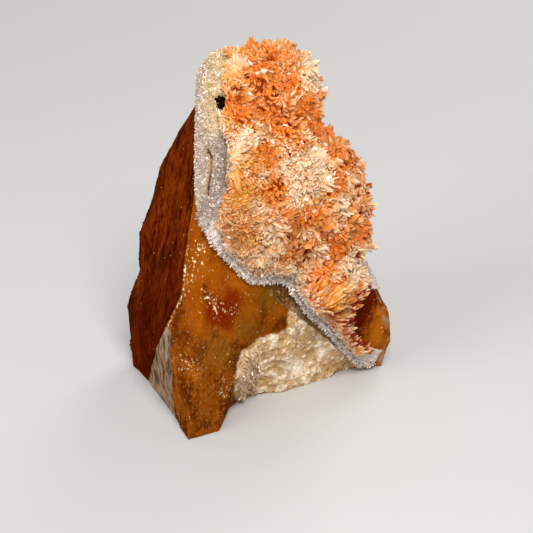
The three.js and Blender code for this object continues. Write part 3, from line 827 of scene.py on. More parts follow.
def honey_colour(graph, s):
    """Clouded amber with its stains, and the bared stone at the lower right."""
    fine = graph.noise(1.3 * MM, 6, (1, 1, 1.2), 0.72)
    broad = graph.noise(8 * MM, 4, (1, 1, 1.3), 0.6)
    coarse = 0.25 + 0.25 * graph.attribute("low")
    tone = (fine - 0.5) * coarse + broad + 0.06 * (graph.attribute("top") - 0.5)
    honey = graph.mix(graph.step(tone, 0.37, 0.50), s.brown, s.honey)
    honey = graph.mix(graph.step(tone, 0.50, 0.66), honey, s.bright)
    blotch = graph.noise(4 * MM, 6, (1, 1, 1.4), 0.65)
    red = graph.step(graph.attribute("red") * 1.1 + 2.0 * (blotch - 0.5), 0.15, 0.85) * 0.9
    honey = graph.mix(red, honey, s.red)
    honey = graph.mix(graph.attribute("olive") * 0.75, honey, s.olive)
    low = graph.attribute("low") * graph.step(graph.noise(1.3 * MM, 5, roughness=0.7), 0.52, 0.60)
    honey = graph.mix(low * 0.4, honey, s.ochre)
    amber = graph.attribute("patch_amber") + 1.6 * (graph.noise(2.5 * MM, 6, (1, 1, 2), 0.65) - 0.5)
    bared = graph.mix(graph.step(amber, 0.1, 0.9), s.patch_red, s.patch)
    honey = graph.mix(graph.attribute("patch"), honey, bared)
    crust = graph.attribute("beige") + 2.0 * (graph.noise(1.6 * MM, 6, roughness=0.75) - 0.5)
    honey = graph.mix(graph.step(crust, 0.4, 0.8) * 0.8, honey, s.beige)
    # Painted shade in the pit.
    return graph.mix(graph.attribute("pit"), honey, s.pit)


def face_colour(graph, s):
    """Red-brown with ochre bands and dark lines along the striations, and painted shade along its front edge.
    """
    straight = graph.striated()
    streak = graph.noise(0.7 * MM, 4, (1, 1, 7), 0.7, straight)
    broad = graph.noise(7 * MM, 4, (1, 1, 3), 0.6, straight)
    mottle = graph.noise(1.8 * MM, 7, (1, 1, 1.8), 0.75, straight)
    bands = graph.step(streak * 0.2 + broad * 0.35 + mottle * 0.45, 0.43, 0.57)
    banded = graph.mix(bands, s.face, s.face_band)
    ragged = graph.noise(1.5 * MM, 5, (1, 1, 2), 0.7, straight)
    lines = graph.step(graph.noise(1.1 * MM, 2, (1, 1, 12), 0.5, straight) + 1.1 * (ragged - 0.5), 0.28, 0.46)
    banded = graph.shade(banded, lines * 0.55 + 0.45)
    # Painted shade along the face's front edge.
    banded = graph.shade(banded, 1 - 0.4 * graph.step(graph.attribute("behind_edge"), 3.0, 0.5))
    clouds = graph.step(graph.noise(9 * MM, 4), 0.30, 0.60)
    banded = graph.mix((1 - graph.attribute("top")) * 0.6, banded, s.face)
    return graph.shade(banded, clouds * 0.7 + 0.7 - 0.05 * graph.attribute("top"))


def sugar_lumps(graph):
    """The lumps of the hollow's sugary grains, around 0."""
    return graph.noise(2.6 * MM, 2) + graph.noise(6 * MM, 2, (1, 1, 1.6)) - 1


def hollow_colour(graph, s):
    """Cream sugary stone with ochre between its lumps and white on them."""
    lumps = sugar_lumps(graph)
    stained = graph.step(graph.noise(3.0 * MM, 5, roughness=0.65), 0.50, 0.66)
    ochre = graph.math("MAXIMUM", stained * 0.5, graph.step(lumps, 0.0, -0.3) * 0.7)
    sugar = graph.mix(ochre, s.cream, s.ochre)
    white = graph.step(lumps + 0.5 * (graph.noise(1.2 * MM, 3) - 0.5), 0.02, 0.16)
    sugar = graph.mix(white * 0.8, sugar, s.white)
    grey = graph.step(graph.noise(6 * MM, 3, roughness=0.6), 0.56, 0.66)
    sugar = graph.mix(grey * 0.5, sugar, s.grey)
    sugar = graph.mix(graph.attribute("lump"), sugar, s.white)
    return graph.shade(sugar, graph.noise(0.8 * MM, 4, roughness=0.7) * 2.2 - 0.05)


def facet_colour(graph, s):
    """Pale stone with dark streaks."""
    streaks = graph.noise(2.6 * MM, 6, (1, 1, 2.2), 0.66)
    return graph.mix(graph.step(streaks, 0.36, 0.60), s.chamfer_dark, s.chamfer_pale)


def stone_finish(s):
    """Glassy where the stone broke clean, duller on its left face, in the hollow and at the back."""
    def paint_stone(graph):
        face, hollow, rough, chamfer = stone_masks(graph)
        base = graph.mix(hollow, honey_colour(graph, s), hollow_colour(graph, s))
        # The groove: a brown band of painted shade and painted light.
        groove = graph.attribute("groove") + 1.2 * (graph.noise(2.5 * MM, 5, roughness=0.7) - 0.5)
        base = graph.mix(graph.step(groove, 0.3, 0.7) * 0.85, base, groove_colour(graph, s))
        base = graph.mix(rough, base, back_colour(graph, s))
        base = graph.mix(face, base, face_colour(graph, s))
        whole = graph.step(graph.noise(3 * MM, 4, (1, 1, 2), 0.7), 0.36, 0.46)
        base = graph.mix(chamfer * (0.35 + 0.6 * whole), base, facet_colour(graph, s))
        smooth = (1 - hollow) * (1 - rough)
        # Painted highlights: glints on chips of the glassy front, which also get a real coat, and sparks on
        # the left face.
        chip = graph.noise(1.1 * MM, 6, roughness=0.78) + 0.14 * (graph.noise(3 * MM) - 0.5)
        glinting_chips = graph.step(chip + 0.08 * graph.attribute("chipped"), 0.640, 0.655) * smooth * (1 - face)
        sparks = graph.step(graph.cells(3.2 * MM) + 0.05 * graph.noise(0.6 * MM), 0.085, 0.06) * face
        base = graph.mix(glinting_chips + sparks, base, s.painted_chip_glint)
        dull = hollow * 0.30 + rough * 0.40 + face * 0.14 + graph.noise(1.5 * MM, 3) * 0.22
        relief = graph.noise(0.55 * MM, 3) * (0.3 + hollow) + graph.noise(1.6 * MM, 3) + graph.cells(1.5 * MM)
        relief = relief + graph.noise(0.7 * MM, 2, (1, 1, 24), 0.5, graph.striated()) * face * 1.5
        return {
            "Base Color": base,
            "Roughness": dull + 0.16,
            "Normal": graph.bump(relief, 0.2 * MM, 0.8),
            "Coat Weight": glinting_chips * 0.3,
        }

    return finish("honey_calcite", paint_stone, Specular_IOR_Level=0.0, Coat_Roughness=0.1)


def stone_fields(places, normals):
    """Which of the stone's surfaces and stains each of its vertices belongs to."""
    across, up = on_rim_plane(places)
    heights = places[:, 2] / MM
    seam, crust = tree_of("drusy_seam"), tree_of("crystal_crust")
    cover = np.array([min(seam.find_nearest(p)[3], crust.find_nearest(p)[3]) for p in vectors(places)])
    in_front = FRONT_DEPTH - places[:, 1] / MM
    front = np.clip((in_front + 5 * clouds_at(places, 6)) / 6, 0, 1)
    behind_edge = edge_distance(places, FACE_EDGE)
    on_edge = np.clip(1.5 - np.abs(behind_edge + 0.6) / 0.7, 0, 1) * (across < CHIPPED_EDGE_END)
    on_edge *= np.clip(2 - np.abs(heights - CHIPPED_EDGE_HEIGHT) / 12, 0, 1)
    on_patch = np.clip(depth_inside(across, up, BARE_PATCH) + 2.5, 0, 1) * (across > 28)
    return {
        "left_facing": normals @ LEFT_FACES,
        "behind_edge": behind_edge,
        "striation": edge_distance(places, STRIATION),
        "chamfer": np.minimum(edge_distance(places, CHAMFER_EDGE), FACET_TOP - heights),
        "hollow": np.minimum(depth_inside(across, up, HOLLOW), in_front),
        "backward": normals[:, 1] - 0.8 * front,
        "uncovered": np.clip((cover / MM - 0.6) / 1.2, 0, 1),
        "groove": groove_share(across, up) * front,
        "pit": np.clip(depth_inside(across, up, PIT) + 2.0, 0, 1) * front,
        "red": nearness(across, up, RED_STAINS),
        "olive": nearness(across, up, OLIVE_STAINS),
        "chipped": np.maximum(nearness(across, up, CHIPPED), 1.4 * on_edge) * front,
        "low": np.clip((24 - up) / 14, 0, 1),
        "top": np.clip((up - 20) / 25, 0, 1),
        "patch": on_patch * front,
        "patch_amber": np.clip(0.5 + (across - 39) / 7 - (up - 20) / 18, 0, 1),
        "lump": nearness(across, up, WHITE_LUMPS) * front,
        "beige": np.clip(1.5 - distance_to_line(across, up, SANDY_EDGE) / 1.8, 0, 1) * front,
    }


def build_stone(s):
    """The block: its planes evened out, then every surface given its own relief and colour."""
    piece = remeshed_copy("matrix_stone", "matrix_block", s.voxel)
    places, normals = read(piece), read(piece, "normal")
    on_left_face = (normals @ LEFT_FACES > 0.8) & (edge_distance(places, FACE_EDGE) > 1.5)
    smooth_where(piece, on_left_face, FACE_ROUNDS)
    smooth_all(piece, BLOCK_ROUNDS)
    smooth_where(piece, (places[:, 1] > FRONT_DEPTH * MM) & (normals @ LEFT_FACES < 0.5), BACK_ROUNDS)
    paint(piece, **stone_fields(read(piece), read(piece, "normal")))
    carve(piece, lambda graph: stone_form(graph, s))
    write(piece, read(piece))
    select_only(piece)
    bpy.ops.object.shade_smooth_by_angle(angle=SMOOTH_ANGLE)
    piece.data.materials.append(stone_finish(s))
    settle(piece, "matrix_stone")


# ---------------------------------------------------------------- the seam
def crack_share(graph, low, high):
    """1 in the strip's ragged crack, which is narrower the smaller high is."""
    return graph.step(graph.attribute("crack") + 1.6 * (graph.noise(2 * MM, 4) - 0.5), high, low)


def seam_form(graph, s):
    """How far the seam's surface stands out, in metres: bumps all over, and the crack."""
    grains = s.druse * (graph.noise(0.9 * MM, 3) - 0.5) * 2 + s.druse * 2 * (graph.noise(4 * MM, 2) - 0.5)
    return (grains - 1.1 * MM * crack_share(graph, 0.1, 0.6)) * graph.attribute("outward")


def seam_finish(s):
    """Grey-white druse, yellower at its top and lilac beside the crystals, with the dark crack."""
    def paint_seam(graph):
        grain = graph.noise(0.8 * MM, 5, roughness=0.7)
        inner = graph.step(graph.attribute("inner") + 0.7 * (graph.noise(3 * MM) - 0.5), 0.3, 0.7)
        base = graph.mix(graph.attribute("yellowed"), s.pale, s.yellow)
        base = graph.mix(inner, base, s.lilac)
        base = graph.mix(graph.attribute("low"), base, s.frost)
        # Painted shade in the druse's low places.
        base = graph.mix(graph.step(grain, 0.56, 0.42) * 0.6, base, s.grey)
        base = graph.mix(graph.step(grain, 0.62, 0.70), base, s.white)
        beside = graph.step(graph.attribute("crack"), 1.7, 0.6) * 0.7
        stain = graph.step(graph.noise(3.5 * MM, 4), 0.54, 0.68) * (1 - inner) * 0.7
        base = graph.mix(graph.math("MAXIMUM", beside, stain), base, s.stain)
        # The crack is dark; the pit's dark is painted shade.
        dark = graph.math("MAXIMUM", crack_share(graph, 0.2, 0.5), graph.attribute("pit"))
        base = graph.mix(dark, base, s.crack)
        return {
            "Base Color": base,
            "Roughness": graph.noise(0.5 * MM, 2) * 0.5 + 0.12,
            "Normal": graph.bump(graph.noise(0.5 * MM, 3), 0.2 * MM, 0.8),
        }

    return finish("pale_druse", paint_seam, IOR=1.5)


def grain_finish(s):
    """Bright little crystals, each with a tone of its own; the darker ones are painted shade."""
    def paint_grains(graph):
        tone, low, sugary = (graph.attribute(name) for name in ("tone", "low", "sugary"))
        base = graph.mix(graph.attribute("yellowed"), s.pale, s.yellow)
        base = graph.mix(graph.attribute("inner"), base, s.lilac)
        base = graph.mix(low, base, s.frost)
        base = graph.mix(sugary, base, s.sugar)
        # Painted shade: the darker grains, more of them low on the rim.
        shaded = (0.45 + 0.4 * low) * (1 - sugary)
        base = graph.mix(graph.step(tone, 0.45, 0.0) * shaded, base, s.grey)
        base = graph.mix(graph.step(tone - 0.15 * low, 0.70, 0.90) * 0.8, base, s.white)
        return {"Base Color": base, "Roughness": tone * 0.3 + 0.06}

    return finish("sparkling_grains", paint_grains, IOR=1.6)


def yellowed_share(across, up):
    """1 beside the crystals at the top of the strip, 0 at its outer edge and below."""
    patchy = 0.6 * np.sin(up * 0.9) + 0.6 * np.sin(up * 0.37 + across)
    return np.clip((from_rim(across, up) + 5.5 + patchy) / 4, 0, 1) * np.clip((up - 80) / 6, 0, 1)


def low_share(across, up):
    """1 along the rim low on the specimen, 0 on the strip."""
    return np.clip((58 - up) / 6, 0, 1)


def inner_share(across, up):
    """1 beside the crystals and along the lower rim, 0 on the outer side of the strip."""
    beside = np.clip((from_rim(across, up) + 3.8) / 1.5, 0, 1) * np.clip((84 - up) / 5, 0, 1)
    return np.maximum(beside, np.clip((52 - up) / 6, 0, 1))


def build_seam(s):
    """The strip and the rim, with bumps on the side away from the stone."""
    piece = remeshed_copy("drusy_seam", "drusy_seam_surface", s.voxel)
    smooth_all(piece, SEAM_ROUNDS)
    places, normals = read(piece), read(piece, "normal")
    across, up = on_rim_plane(places)
    paint(
        piece,
        crack=distance_to_line(across, up, CRACK),
        inner=inner_share(across, up),
        yellowed=yellowed_share(across, up),
        low=low_share(across, up),
        pit=np.clip(depth_inside(across, up, PIT) + 0.6, 0, 1),
        outward=np.where(faces_node(places, normals, tree_of("matrix_stone"), 2 * MM), 0.0, 1.0),
    )
    carve(piece, lambda graph: seam_form(graph, s))
    write(piece, read(piece))
    piece.data.materials.append(seam_finish(s))
    settle(piece, "drusy_seam")


def grains_on(piece, name, node, seed, wanted, s, clear_of=(), lowest=0.0, front_only=False,
              coarse=1.0, sugary=0.0):
    """Covers a piece's surface with sparkling grains where wanted(across, up) is above a random number.

    None grows straight at a node in clear_of. lowest and front_only keep them off the floor and the back,
    coarse makes them larger, and sugary gives them the hollow's colour.
    """
    random = np.random.default_rng(seed)
    neighbours = [tree_of(other) for other in clear_of]

    def shows(places, normals):
        kept = random.random(len(places)) < wanted(*on_rim_plane(places))
        deepest = random.uniform(*GRAIN_DEPTHS, len(places)) * MM
        kept &= (places[:, 2] > lowest) & ((places[:, 1] < deepest) | (not front_only))
        for tree in neighbours:
            kept[kept] = ~faces_node(places[kept], normals[kept], tree, GRAIN_CLEARANCE * MM)
        return kept

    places, normals = scattered(piece, s.grain_spacing, seed, shows)
    count = len(places)
    across, up = on_rim_plane(places)
    fringe = (np.exp(-np.maximum(from_rim(across, up), 0) / 1.5) * (up < 58))[:, None]
    outs = unit(normals - 0.8 * fringe * inward(across, up) + random.normal(0, 0.5, places.shape))
    sides, ups = square_to(outs, random.random(count) * math.tau)
    size = (coarse * s.grain_size * random.uniform(0.4, 1.2, count))[:, None]
    tall = size * random.uniform(0.8, 1.6, (count, 1)) * (1 + 0.9 * fringe)
    master = model_grain()
    rows, faces = copies([master], np.zeros(count, int), places, sides * size, ups * size * 0.8, outs * tall)
    grains = joined_mesh(name, rows, faces, grain_finish(s))
    fields = {
        "tone": random.random(count), "inner": inner_share(across, up), "low": low_share(across, up),
        "yellowed": yellowed_share(across, up), "sugary": np.full(count, sugary),
    }
    paint(grains, **{field: np.repeat(values, len(master[0])) for field, values in fields.items()})
    settle(grains, node)


def groove_share(across, up):
    """1 in the brown groove, which narrows towards the lower right."""
    return np.clip(1.4 - distance_to_line(across, up, GROOVE) / np.clip(3.4 - across / 10, 0.7, 3), 0, 1)


def sugar_share(across, up):
    """How thickly grains stand in the hollow."""
    within = np.minimum(depth_inside(across, up, HOLLOW), -from_rim(across, up))
    return np.clip((within - 0.8) / 2, 0, 0.35) * (1 - groove_share(across, up))


def seam_share(across, up):
    """How thickly grains stand on the bare seam: all over, but for its crack and its pit."""
    return np.maximum(grain_share(across, up), 0.8 * (depth_inside(across, up, PIT) < -1) * (across > 0))


def grain_share(across, up):
    """How thickly the sparkling grains stand: on the strip and the rim, thinning into the crystals."""
    inside = from_rim(across, up)
    share = np.where(up < LOW_RIM, 1 - (inside - 1.6) / 1.4, 1 - (inside - 1.2) / 2.0)
    share = np.where((up < 6.5) & (across > 34), 1, share)
    share *= distance_to_line(across, up, CRACK) > 0.8
    share *= depth_inside(across, up, PIT) < 0
    return np.clip(share, 0, 1)


# ---------------------------------------------------------------- the crystals
BLADE_FIELDS = ("warmth", "tone", "amber", "deep", "dusky", "fringe", "dark")


def blade_finish(s):
    """Warm crystal that looks translucent by painted glow: deep orange at the root, pale at the tip."""
    def paint_blades(graph):
        names = ("along", "warmth", "tone", "amber", "deep", "dusky", "fringe")
        along, warmth, tone, amber, deep, dusky, fringe = (graph.attribute(name) for name in names)
        body = graph.mix(graph.step(warmth, 0.0, 0.5), s.cream, s.peach)
        body = graph.mix(graph.step(warmth, 0.5, 1.0), body, s.orange)
        body = graph.mix(amber, body, s.amber)
        # Painted shade darkens the bodies and dims the pale tips low on the left.
        body = graph.mix(dusky * 0.5, body, s.painted_shade_tone)
        body = graph.mix(fringe * 0.75, body, s.fringe)
        # The root colour is painted glow; where deep, it turns dark red, partly painted shade.
        root = graph.mix(graph.step(warmth, 0.0, 0.6), s.blush, s.glow)
        root = graph.mix(fringe * 0.7, root, s.fringe)
        root = graph.mix(deep, root, s.deep)
        base = graph.mix(graph.step(along, 0.85, 0.30), body, root)
        paler = graph.step(along, 0.70, 1.0) * (1 - graph.step(warmth, 0.4, 0.9) * 0.8) * (1 - amber * 0.8)
        base = graph.mix(paler * (0.6 - 0.3 * dusky), base, s.tip)
        # Painted highlight on the few brightest tips.
        painted_glint = graph.step(tone, 0.975, 0.985) * graph.step(along, 0.6, 0.8)
        base = graph.mix(painted_glint * 0.7, base, s.painted_glint)
        # The dark blades take the deep red of the gaps, partly painted shade.
        base = graph.mix(graph.attribute("dark"), base, s.deep)
        # Painted shade in the pit.
        base = graph.mix(graph.attribute("pit"), base, s.pit)
        return {
            "Base Color": graph.shade(base, tone * 0.3 + 0.66),
            "Roughness": tone * 0.3 + 0.2,
            "Coat Weight": graph.step(tone, 0.92, 0.98) * 0.4,
            # Painted glow: the roots give off their own colour as light, though they are no lamp.
            "Emission Color": graph.mix(graph.step(along, 0.95, 0.35), (0.0, 0.0, 0.0), root),
        }

    return finish("aragonite_blades", paint_blades, Specular_IOR_Level=0.1, Coat_Roughness=0.15,
                  Emission_Strength=s.painted_glow_strength)


def outer_share(places, normals):
    """1 where the crust faces away from the stone, 0 where it faces it."""
    return np.where(faces_node(places, normals, tree_of("matrix_stone"), 6 * MM), 0.0, 1.0)


def sprays(core, s):
    """The middles of the sprays, and the points within the crust from which their blades spread."""
    middles, normals = scattered(core, s.spray_spacing, s.seed, lambda p, n: outer_share(p, n) > 0.5)
    random = np.random.default_rng(s.seed + 1)
    kept = random.random(len(middles)) < SPRAYS_KEPT
    middles, normals = middles[kept], normals[kept]
    normals = unit(normals + random.normal(0, 0.35, normals.shape))
    depth = s.spray_depth * random.uniform(0.7, 1.8, len(middles))
    leans = random.normal(0, 0.32, normals.shape)
    return middles, middles - normals * depth[:, None], leans


def room_in_box(places, outs):
    """How far each place can go in its direction before it leaves the model's box."""
    steep = np.abs(outs) > 1e-3
    low, high = np.array(CAD_BOX[0]), np.array(CAD_BOX[1])
    reach = (np.where(outs > 0, high, low) - places) / np.where(steep, outs, 1)
    return np.where(steep, reach, np.inf).min(axis=1)


def hues(places):
    """How warm, amber, deep red and fibrous the crystals are at each place, and how much painted shade
    darkens them there.
    """
    across, up = on_rim_plane(places)
    inside = from_rim(across, up)
    warmth = 0.42 + 0.40 * clouds_at(places, 7) - 0.45 * (1 - np.clip((inside - 1.5) / 6, 0, 1))
    warmth += 0.6 * nearness(across, up, ORANGE_PATCHES) - 0.8 * nearness(across, up, CREAM_PATCHES)
    return {
        "warmth": warmth,
        "deep": np.maximum(nearness(across, up, DEEP_PATCHES), 0.9 * beside_patch(across, up)),
        "amber": 0.9 * nearness(across, up, AMBER_PATCHES),
        "dusky": nearness(across, up, PAINTED_SHADE_PATCHES),
        "fringe": np.clip(1.2 - (inside - 1.5) / 5, 0, 1) * np.clip((60 - up) / 4, 0, 1),
    }


def hidden_roots(core, places, outs, roots):
    """Each root's length, cut back until its end lies inside the crust, or 0 where none does."""
    tree = tree_of_mesh(core.data)
    kept = np.zeros(len(roots))
    for i, (place, out) in enumerate(zip(vectors(places), vectors(outs))):
        for share in (1, 0.6, 0.3):
            end = place - out * (roots[i] * share)
            surface, normal, _, _ = tree.find_nearest(end)
            if (surface - end).dot(normal) > ROOT_COVER * MM:
                kept[i] = roots[i] * share
                break
    return kept


def fan_share(across, up):
    """1 where the blades low on the right spread like a fan, 0 elsewhere."""
    return np.clip((across - 13) / 4, 0, 1) * np.clip((38 - up) / 4, 0, 1)


def sink_share(inside):
    """How much of its full depth the core lies under the crust, which is less beside the rim."""
    return np.clip((inside - 1) / 4, 0.15, 1)


def blade_places(core, s, random):
    """Places and normals where blades grow: off the rim, the bared stone and the pit."""
    def can_grow(places, normals):
        across, up = on_rim_plane(places)
        inside = from_rim(across, up)
        kept = inside > np.where(up < LOW_RIM, 1.8, 0.4)
        kept &= depth_inside(across, up, BARE_PATCH) < 0.2
        kept &= (depth_inside(across, up, PIT) < -0.5) | (places[:, 1] > PIT_BACK * MM)
        kept &= random.random(len(places)) < 1 - BLADES_LEFT_OUT * np.clip((inside - 2) / 6, 0, 1)
        kept[kept] = outer_share(places[kept], normals[kept]) > 0.5
        return kept

    return scattered(core, s.blade_spacing, s.seed + 3, can_grow)


def nearest_sprays(places, middles, s, random):
    """Which spray each blade belongs to, and how far out it stands in it, from 0 to 1."""
    near = KDTree(len(middles))
    for i, middle in enumerate(middles):
        near.insert(middle, i)
    near.balance()
    found = [near.find(place) for place in places + random.normal(0, 0.5 * MM, places.shape)]
    away = np.array([hit[2] for hit in found]) / (SPRAY_RADIUS * s.spray_spacing)
    return np.array([hit[1] for hit in found]), np.clip(away, 0, 1)


def blade_directions(places, normals, foci, leans, s, random):
    """The way each blade points: away from its spray's focus, and steeply enough off the crust."""
    across, up = on_rim_plane(places)
    from_edge = inward(across, up)
    flat_lying = np.exp(-np.maximum(from_rim(across, up) - 1.5, 0) / 4)[:, None]
    fan = fan_share(across, up)[:, None]
    crumbly = np.clip((up - 72) / 10, 0, 1)[:, None]
    outs = unit(0.2 * normals + unit(places - foci) + leans + (0.22 + 0.8 * flat_lying) * from_edge)
    outs += beside_patch(across, up)[:, None] * np.array([OFF_PATCH])
    outs = unit(outs) + fan * (1.6 * from_edge + 0.4 * unit(leans))
    outs = unit(outs + (0.24 + 0.2 * crumbly - 0.12 * fan) * random.normal(0, 1, places.shape))
    least = s.least_lift * (1 - 0.3 * fan[:, 0])
    lift = np.maximum(least - (outs * normals).sum(axis=1), 0)[:, None]
    return unit(outs + lift * normals)


def blade_sizes(spray_size, away, grown, by_patch, s, random):
    """Each blade's length, width and thickness. Those inside a spray are the largest."""
    count = len(away)
    size = np.minimum((0.30 + 0.70 * random.random(count) ** 1.6) * (1.2 - 0.45 * away), 1)
    lengths = s.blade_length * size * spray_size * (1.25 - 0.6 * away**2) * (0.5 + 0.5 * grown)
    widths = s.blade_width * (0.45 + 0.55 * size) * random.uniform(0.6, 1.0, count) * (0.4 + 0.6 * grown)
    widths *= 1 - 0.6 * by_patch
    thick = s.blade_thickness * (0.5 + 0.5 * size) * random.uniform(0.7, 1.1, count) * (0.5 + 0.5 * grown)
    return lengths, widths, thick


def stand_clear(places, outs, lengths, roots, random):
    """True for each blade that is long enough and keeps out of the pit, the bared stone and the rim."""
    tips = places + outs * lengths[:, None]
    tip_across, tip_up = on_rim_plane(tips)
    clear = (depth_inside(tip_across, tip_up, PIT) < 0.1) | (tips[:, 1] > PIT_BACK * MM)
    overhang = 1.0 + 3.5 * random.random(len(places)) ** 3
    clear &= depth_inside(tip_across, tip_up, BARE_PATCH) < overhang
    clear &= from_rim(tip_across, tip_up) > 0
    clear &= from_rim(*on_rim_plane(places - outs * roots[:, None])) > 0.3
    return clear & (lengths > SHORTEST_BLADE * MM) & (roots > 0)


def lay_out_blades(core, s):
    """Every blade's place, direction, spin, size and colour."""
    random = np.random.default_rng(s.seed + 2)
    places, normals = blade_places(core, s, random)
    count = len(places)
    across, up = on_rim_plane(places)
    inside = from_rim(across, up)
    grown = np.clip((inside - 1) / 8, 0, 1)
    by_patch = beside_patch(across, up)
    middles, foci, leans = sprays(core, s)
    which, away = nearest_sprays(places, middles, s, random)
    outs = blade_directions(places, normals, foci[which], leans[which], s, random)
    spins = random.normal(0, 0.5, count) + (random.random(count) < BLADES_ON_EDGE) * math.pi / 2
    spray_size = random.uniform(0.7, 1.2, len(middles))[which]
    lengths, widths, thick = blade_sizes(spray_size, away, grown, by_patch, s, random)
    room = room_in_box(places, outs) - BOX_MARGIN * MM
    lengths = np.minimum(lengths, np.maximum(room, 0.2 * MM))
    roots = (s.sink * sink_share(inside) + 0.5 * MM) / (outs * normals).sum(axis=1)
    roots = hidden_roots(core, places, outs, roots)
    clear = stand_clear(places, outs, lengths, roots, random)

    tints = hues(places)
    clear &= spots_at(places, 2) < 0.6 - 0.5 * tints["deep"]
    # Blades at a spray's edge, in the valleys between sprays, are painted warmer and deeper red: painted glow
    # and painted shade.
    spray_warmth = random.normal(0, 0.13, len(middles))[which] + 0.5 * (away - 0.5)
    tints["warmth"] = np.clip(tints["warmth"] + spray_warmth + random.normal(0, 0.08, count), 0, 1)
    tints["deep"] = np.clip(tints["deep"] + 0.6 * (away - 0.8) * (grown > 0.6), 0, 1)
    # A few whole blades are painted dark red: painted shade for holes between the blades, and the dark fibres
    # beside the bared stone.
    dark = random.random(count) < 0.01 + 0.12 * tints["deep"] + 0.4 * by_patch
    small = np.where(dark & (by_patch == 0), 0.6, 1)
    layout = {
        "places": places, "normals": normals, "outs": outs, "spins": spins, "lengths": lengths * small,
        "widths": widths * small, "thick": thick, "roots": roots, "dark": dark, "tone": random.random(count),
        "kind": random.integers(0, len(BLADE_SHAPES), count), **tints,
    }
    return {name: values[clear] for name, values in layout.items()}


def build_core(s):
    """The crystals' roots: the crust's form, evened out, for the blades to stand in."""
    core = remeshed_copy("crystal_crust", "crystal_roots", s.voxel)
    drop_crumbs(core)
    smooth_all(core, ROOT_ROUNDS)
    return core


def sink_core(core, s):
    """Lowers the roots under the blades' feet and colours them."""
    places, normals = read(core), read(core, "normal")
    depth = s.sink * sink_share(from_rim(*on_rim_plane(places))) * outer_share(places, normals)
    write(core, places - normals * depth[:, None])
    mottle = spots_at(places, 0.9)
    # Painted shade for the roots in the pit.
    in_pit = np.clip(depth_inside(*on_rim_plane(read(core)), PIT) + 1.0, 0, 1) * (places[:, 1] < 3 * MM)
    paint(core, along=0.3 + 0.6 * mottle, tone=0.5 + mottle, pit=in_pit, **hues(places))
    core.data.materials.append(bpy.data.materials["aragonite_blades"])
    settle(core, "crystal_crust")


def build_blades(core, s):
    """All the blades, joined into one piece for each stretch of height."""
    layout = lay_out_blades(core, s)
    sides, ups = square_to(layout["outs"], layout["spins"], layout["normals"])
    origins = layout["places"] - layout["outs"] * layout["roots"][:, None]
    whole = layout["lengths"] + layout["roots"]
    masters = [model_blade(*shape) for shape in BLADE_SHAPES]
    points = masters[0][0]
    material = blade_finish(s)
    heights = on_rim_plane(layout["places"])[1]
    for name, (low, high) in BLADE_PIECES.items():
        chosen = (heights > low) & (heights <= high)
        rows, faces = copies(
            masters, layout["kind"][chosen], origins[chosen], (sides * layout["widths"][:, None])[chosen],
            (ups * layout["thick"][:, None])[chosen], (layout["outs"] * whole[:, None])[chosen])
        piece = joined_mesh(name, rows, faces, material)
        paint(piece, along=np.tile(points[:, 2], int(chosen.sum())),
              **{field: np.repeat(layout[field][chosen], len(points)) for field in BLADE_FIELDS})
        settle(piece, "crystal_crust")


# ---------------------------------------------------------------- the stage
def add_light(name, place, size, watts, aim):
    """A square soft light that points at the aim."""
    bpy.ops.object.light_add(type="AREA", location=place)
    lamp = bpy.context.object
    lamp.name = name
    lamp.data.size = size
    lamp.data.energy = watts
    lamp.rotation_euler = (aim - Vector(place)).to_track_quat("-Z", "Y").to_euler()


def build_stage(s):
    """The floor, the lamps, the light from all sides and the camera."""
    bpy.ops.object.select_all(action="DESELECT")
    bpy.ops.mesh.primitive_plane_add(size=FLOOR_WIDTH, location=(0, 0, 0))
    ground = bpy.context.object
    ground.name = "pale_floor"

    def paint_floor(graph):
        return {"Base Color": graph.mix(graph.noise(0.4, 2) * 0.08, s.floor, s.floor_cloud)}

    ground.data.materials.append(finish("pale_floor", paint_floor, Roughness=0.8, Specular_IOR_Level=0.2))

    middle = Vector((0, 0, LAMP_AIM_HEIGHT * MM))
    for name, (place, width) in LAMPS.items():
        add_light(name, place, width, getattr(s, name + "_power"), middle)
    world = bpy.data.worlds.new("studio")
    bpy.context.scene.world = world
    world.use_nodes = True
    sky = world.node_tree.nodes["Background"]
    sky.inputs["Color"].default_value = (1, 1, 1, 1)
    sky.inputs["Strength"].default_value = s.sky

    aim = Vector(CAMERA_AIM) * MM
    back = Vector((0, -math.cos(TILT), math.sin(TILT))) * CAMERA_DISTANCE
    bpy.ops.object.camera_add(location=aim + back, rotation=(math.pi / 2 - TILT, 0, 0))
    camera = bpy.context.object
    camera.data.lens = s.lens
    camera.data.clip_start = 0.05
    bpy.context.scene.camera = camera
    bpy.context.scene.view_settings.view_transform = "Standard"


# ---------------------------------------------------------------- operators and panel
class BuildStone(bpy.types.Operator):
    """Build the calcite block with its broken, striated and sugary faces"""
    bl_idname = "specimen.build_stone"
    bl_label = "Calcite Block"

    def execute(self, context):
        build_stone(context.scene.specimen_matrix)
        block = bpy.data.objects["matrix_block"]
        grains_on(block, "sugar_grains", "matrix_stone", 97, sugar_share, context.scene.specimen_seam,
                  lowest=GRAIN_FLOOR * MM, front_only=True, coarse=1.5, sugary=1.0)
        return {"FINISHED"}


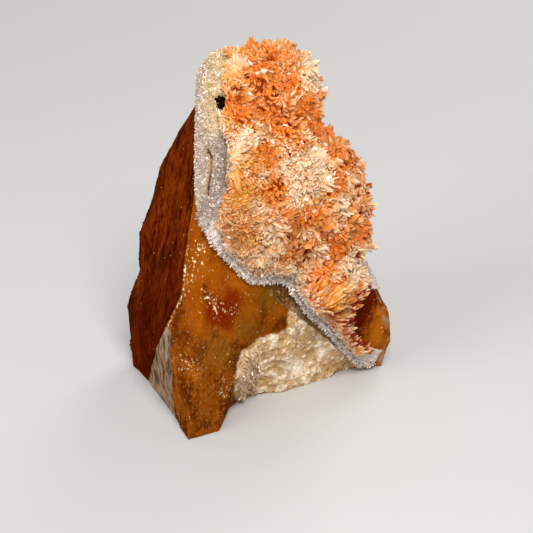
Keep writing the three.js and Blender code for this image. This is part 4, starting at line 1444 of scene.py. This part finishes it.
class BuildSeam(bpy.types.Operator):
    """Build the drusy seam and its sparkling grains"""
    bl_idname = "specimen.build_seam"
    bl_label = "Drusy Seam"

    def execute(self, context):
        settings = context.scene.specimen_seam
        build_seam(settings)
        seam = bpy.data.objects["drusy_seam_surface"]
        grains_on(seam, "druse_grains", "drusy_seam", 31, seam_share, settings,
                  clear_of=("matrix_stone", "crystal_crust"))
        return {"FINISHED"}


class BuildCrust(bpy.types.Operator):
    """Build the crust of radiating aragonite blades and the druse along its edge"""
    bl_idname = "specimen.build_crust"
    bl_label = "Aragonite Blades"

    def execute(self, context):
        settings = context.scene.specimen_crust
        core = build_core(settings)
        build_blades(core, settings)
        sink_core(core, settings)
        grains_on(core, "rim_grains", "crystal_crust", 57, grain_share, context.scene.specimen_seam,
                  clear_of=("matrix_stone",))
        return {"FINISHED"}


class BuildStage(bpy.types.Operator):
    """Set up the floor, the lights and the camera"""
    bl_idname = "specimen.build_stage"
    bl_label = "Stage"

    def execute(self, context):
        build_stage(context.scene.specimen_stage)
        return {"FINISHED"}


class SpecimenPanel(bpy.types.Panel):
    """Lists the steps that build the specimen"""
    bl_idname = "VIEW3D_PT_specimen"
    bl_label = "Specimen"
    bl_space_type = "VIEW_3D"
    bl_region_type = "UI"
    bl_category = "Specimen"

    def draw(self, context):
        for step in STEPS:
            self.layout.operator(step.bl_idname)
        for name in SETTINGS:
            box = self.layout.box()
            settings = getattr(context.scene, name)
            for field in settings.bl_rna.properties:
                if field.identifier not in ("rna_type", "name"):
                    box.prop(settings, field.identifier)


SETTINGS = {
    "specimen_matrix": MatrixSettings,
    "specimen_seam": SeamSettings,
    "specimen_crust": CrustSettings,
    "specimen_stage": StageSettings,
}
STEPS = [BuildStone, BuildSeam, BuildCrust, BuildStage]


def register():
    for kind in [*SETTINGS.values(), *STEPS, SpecimenPanel]:
        bpy.utils.register_class(kind)
    for name, kind in SETTINGS.items():
        setattr(bpy.types.Scene, name, PointerProperty(type=kind))


def unregister():
    for name in SETTINGS:
        delattr(bpy.types.Scene, name)
    for kind in reversed([*SETTINGS.values(), *STEPS, SpecimenPanel]):
        bpy.utils.unregister_class(kind)


def main():
    register()
    bpy.ops.specimen.build_stone()
    bpy.ops.specimen.build_seam()
    bpy.ops.specimen.build_crust()
    bpy.ops.specimen.build_stage()


if __name__ == "__main__":
    main()
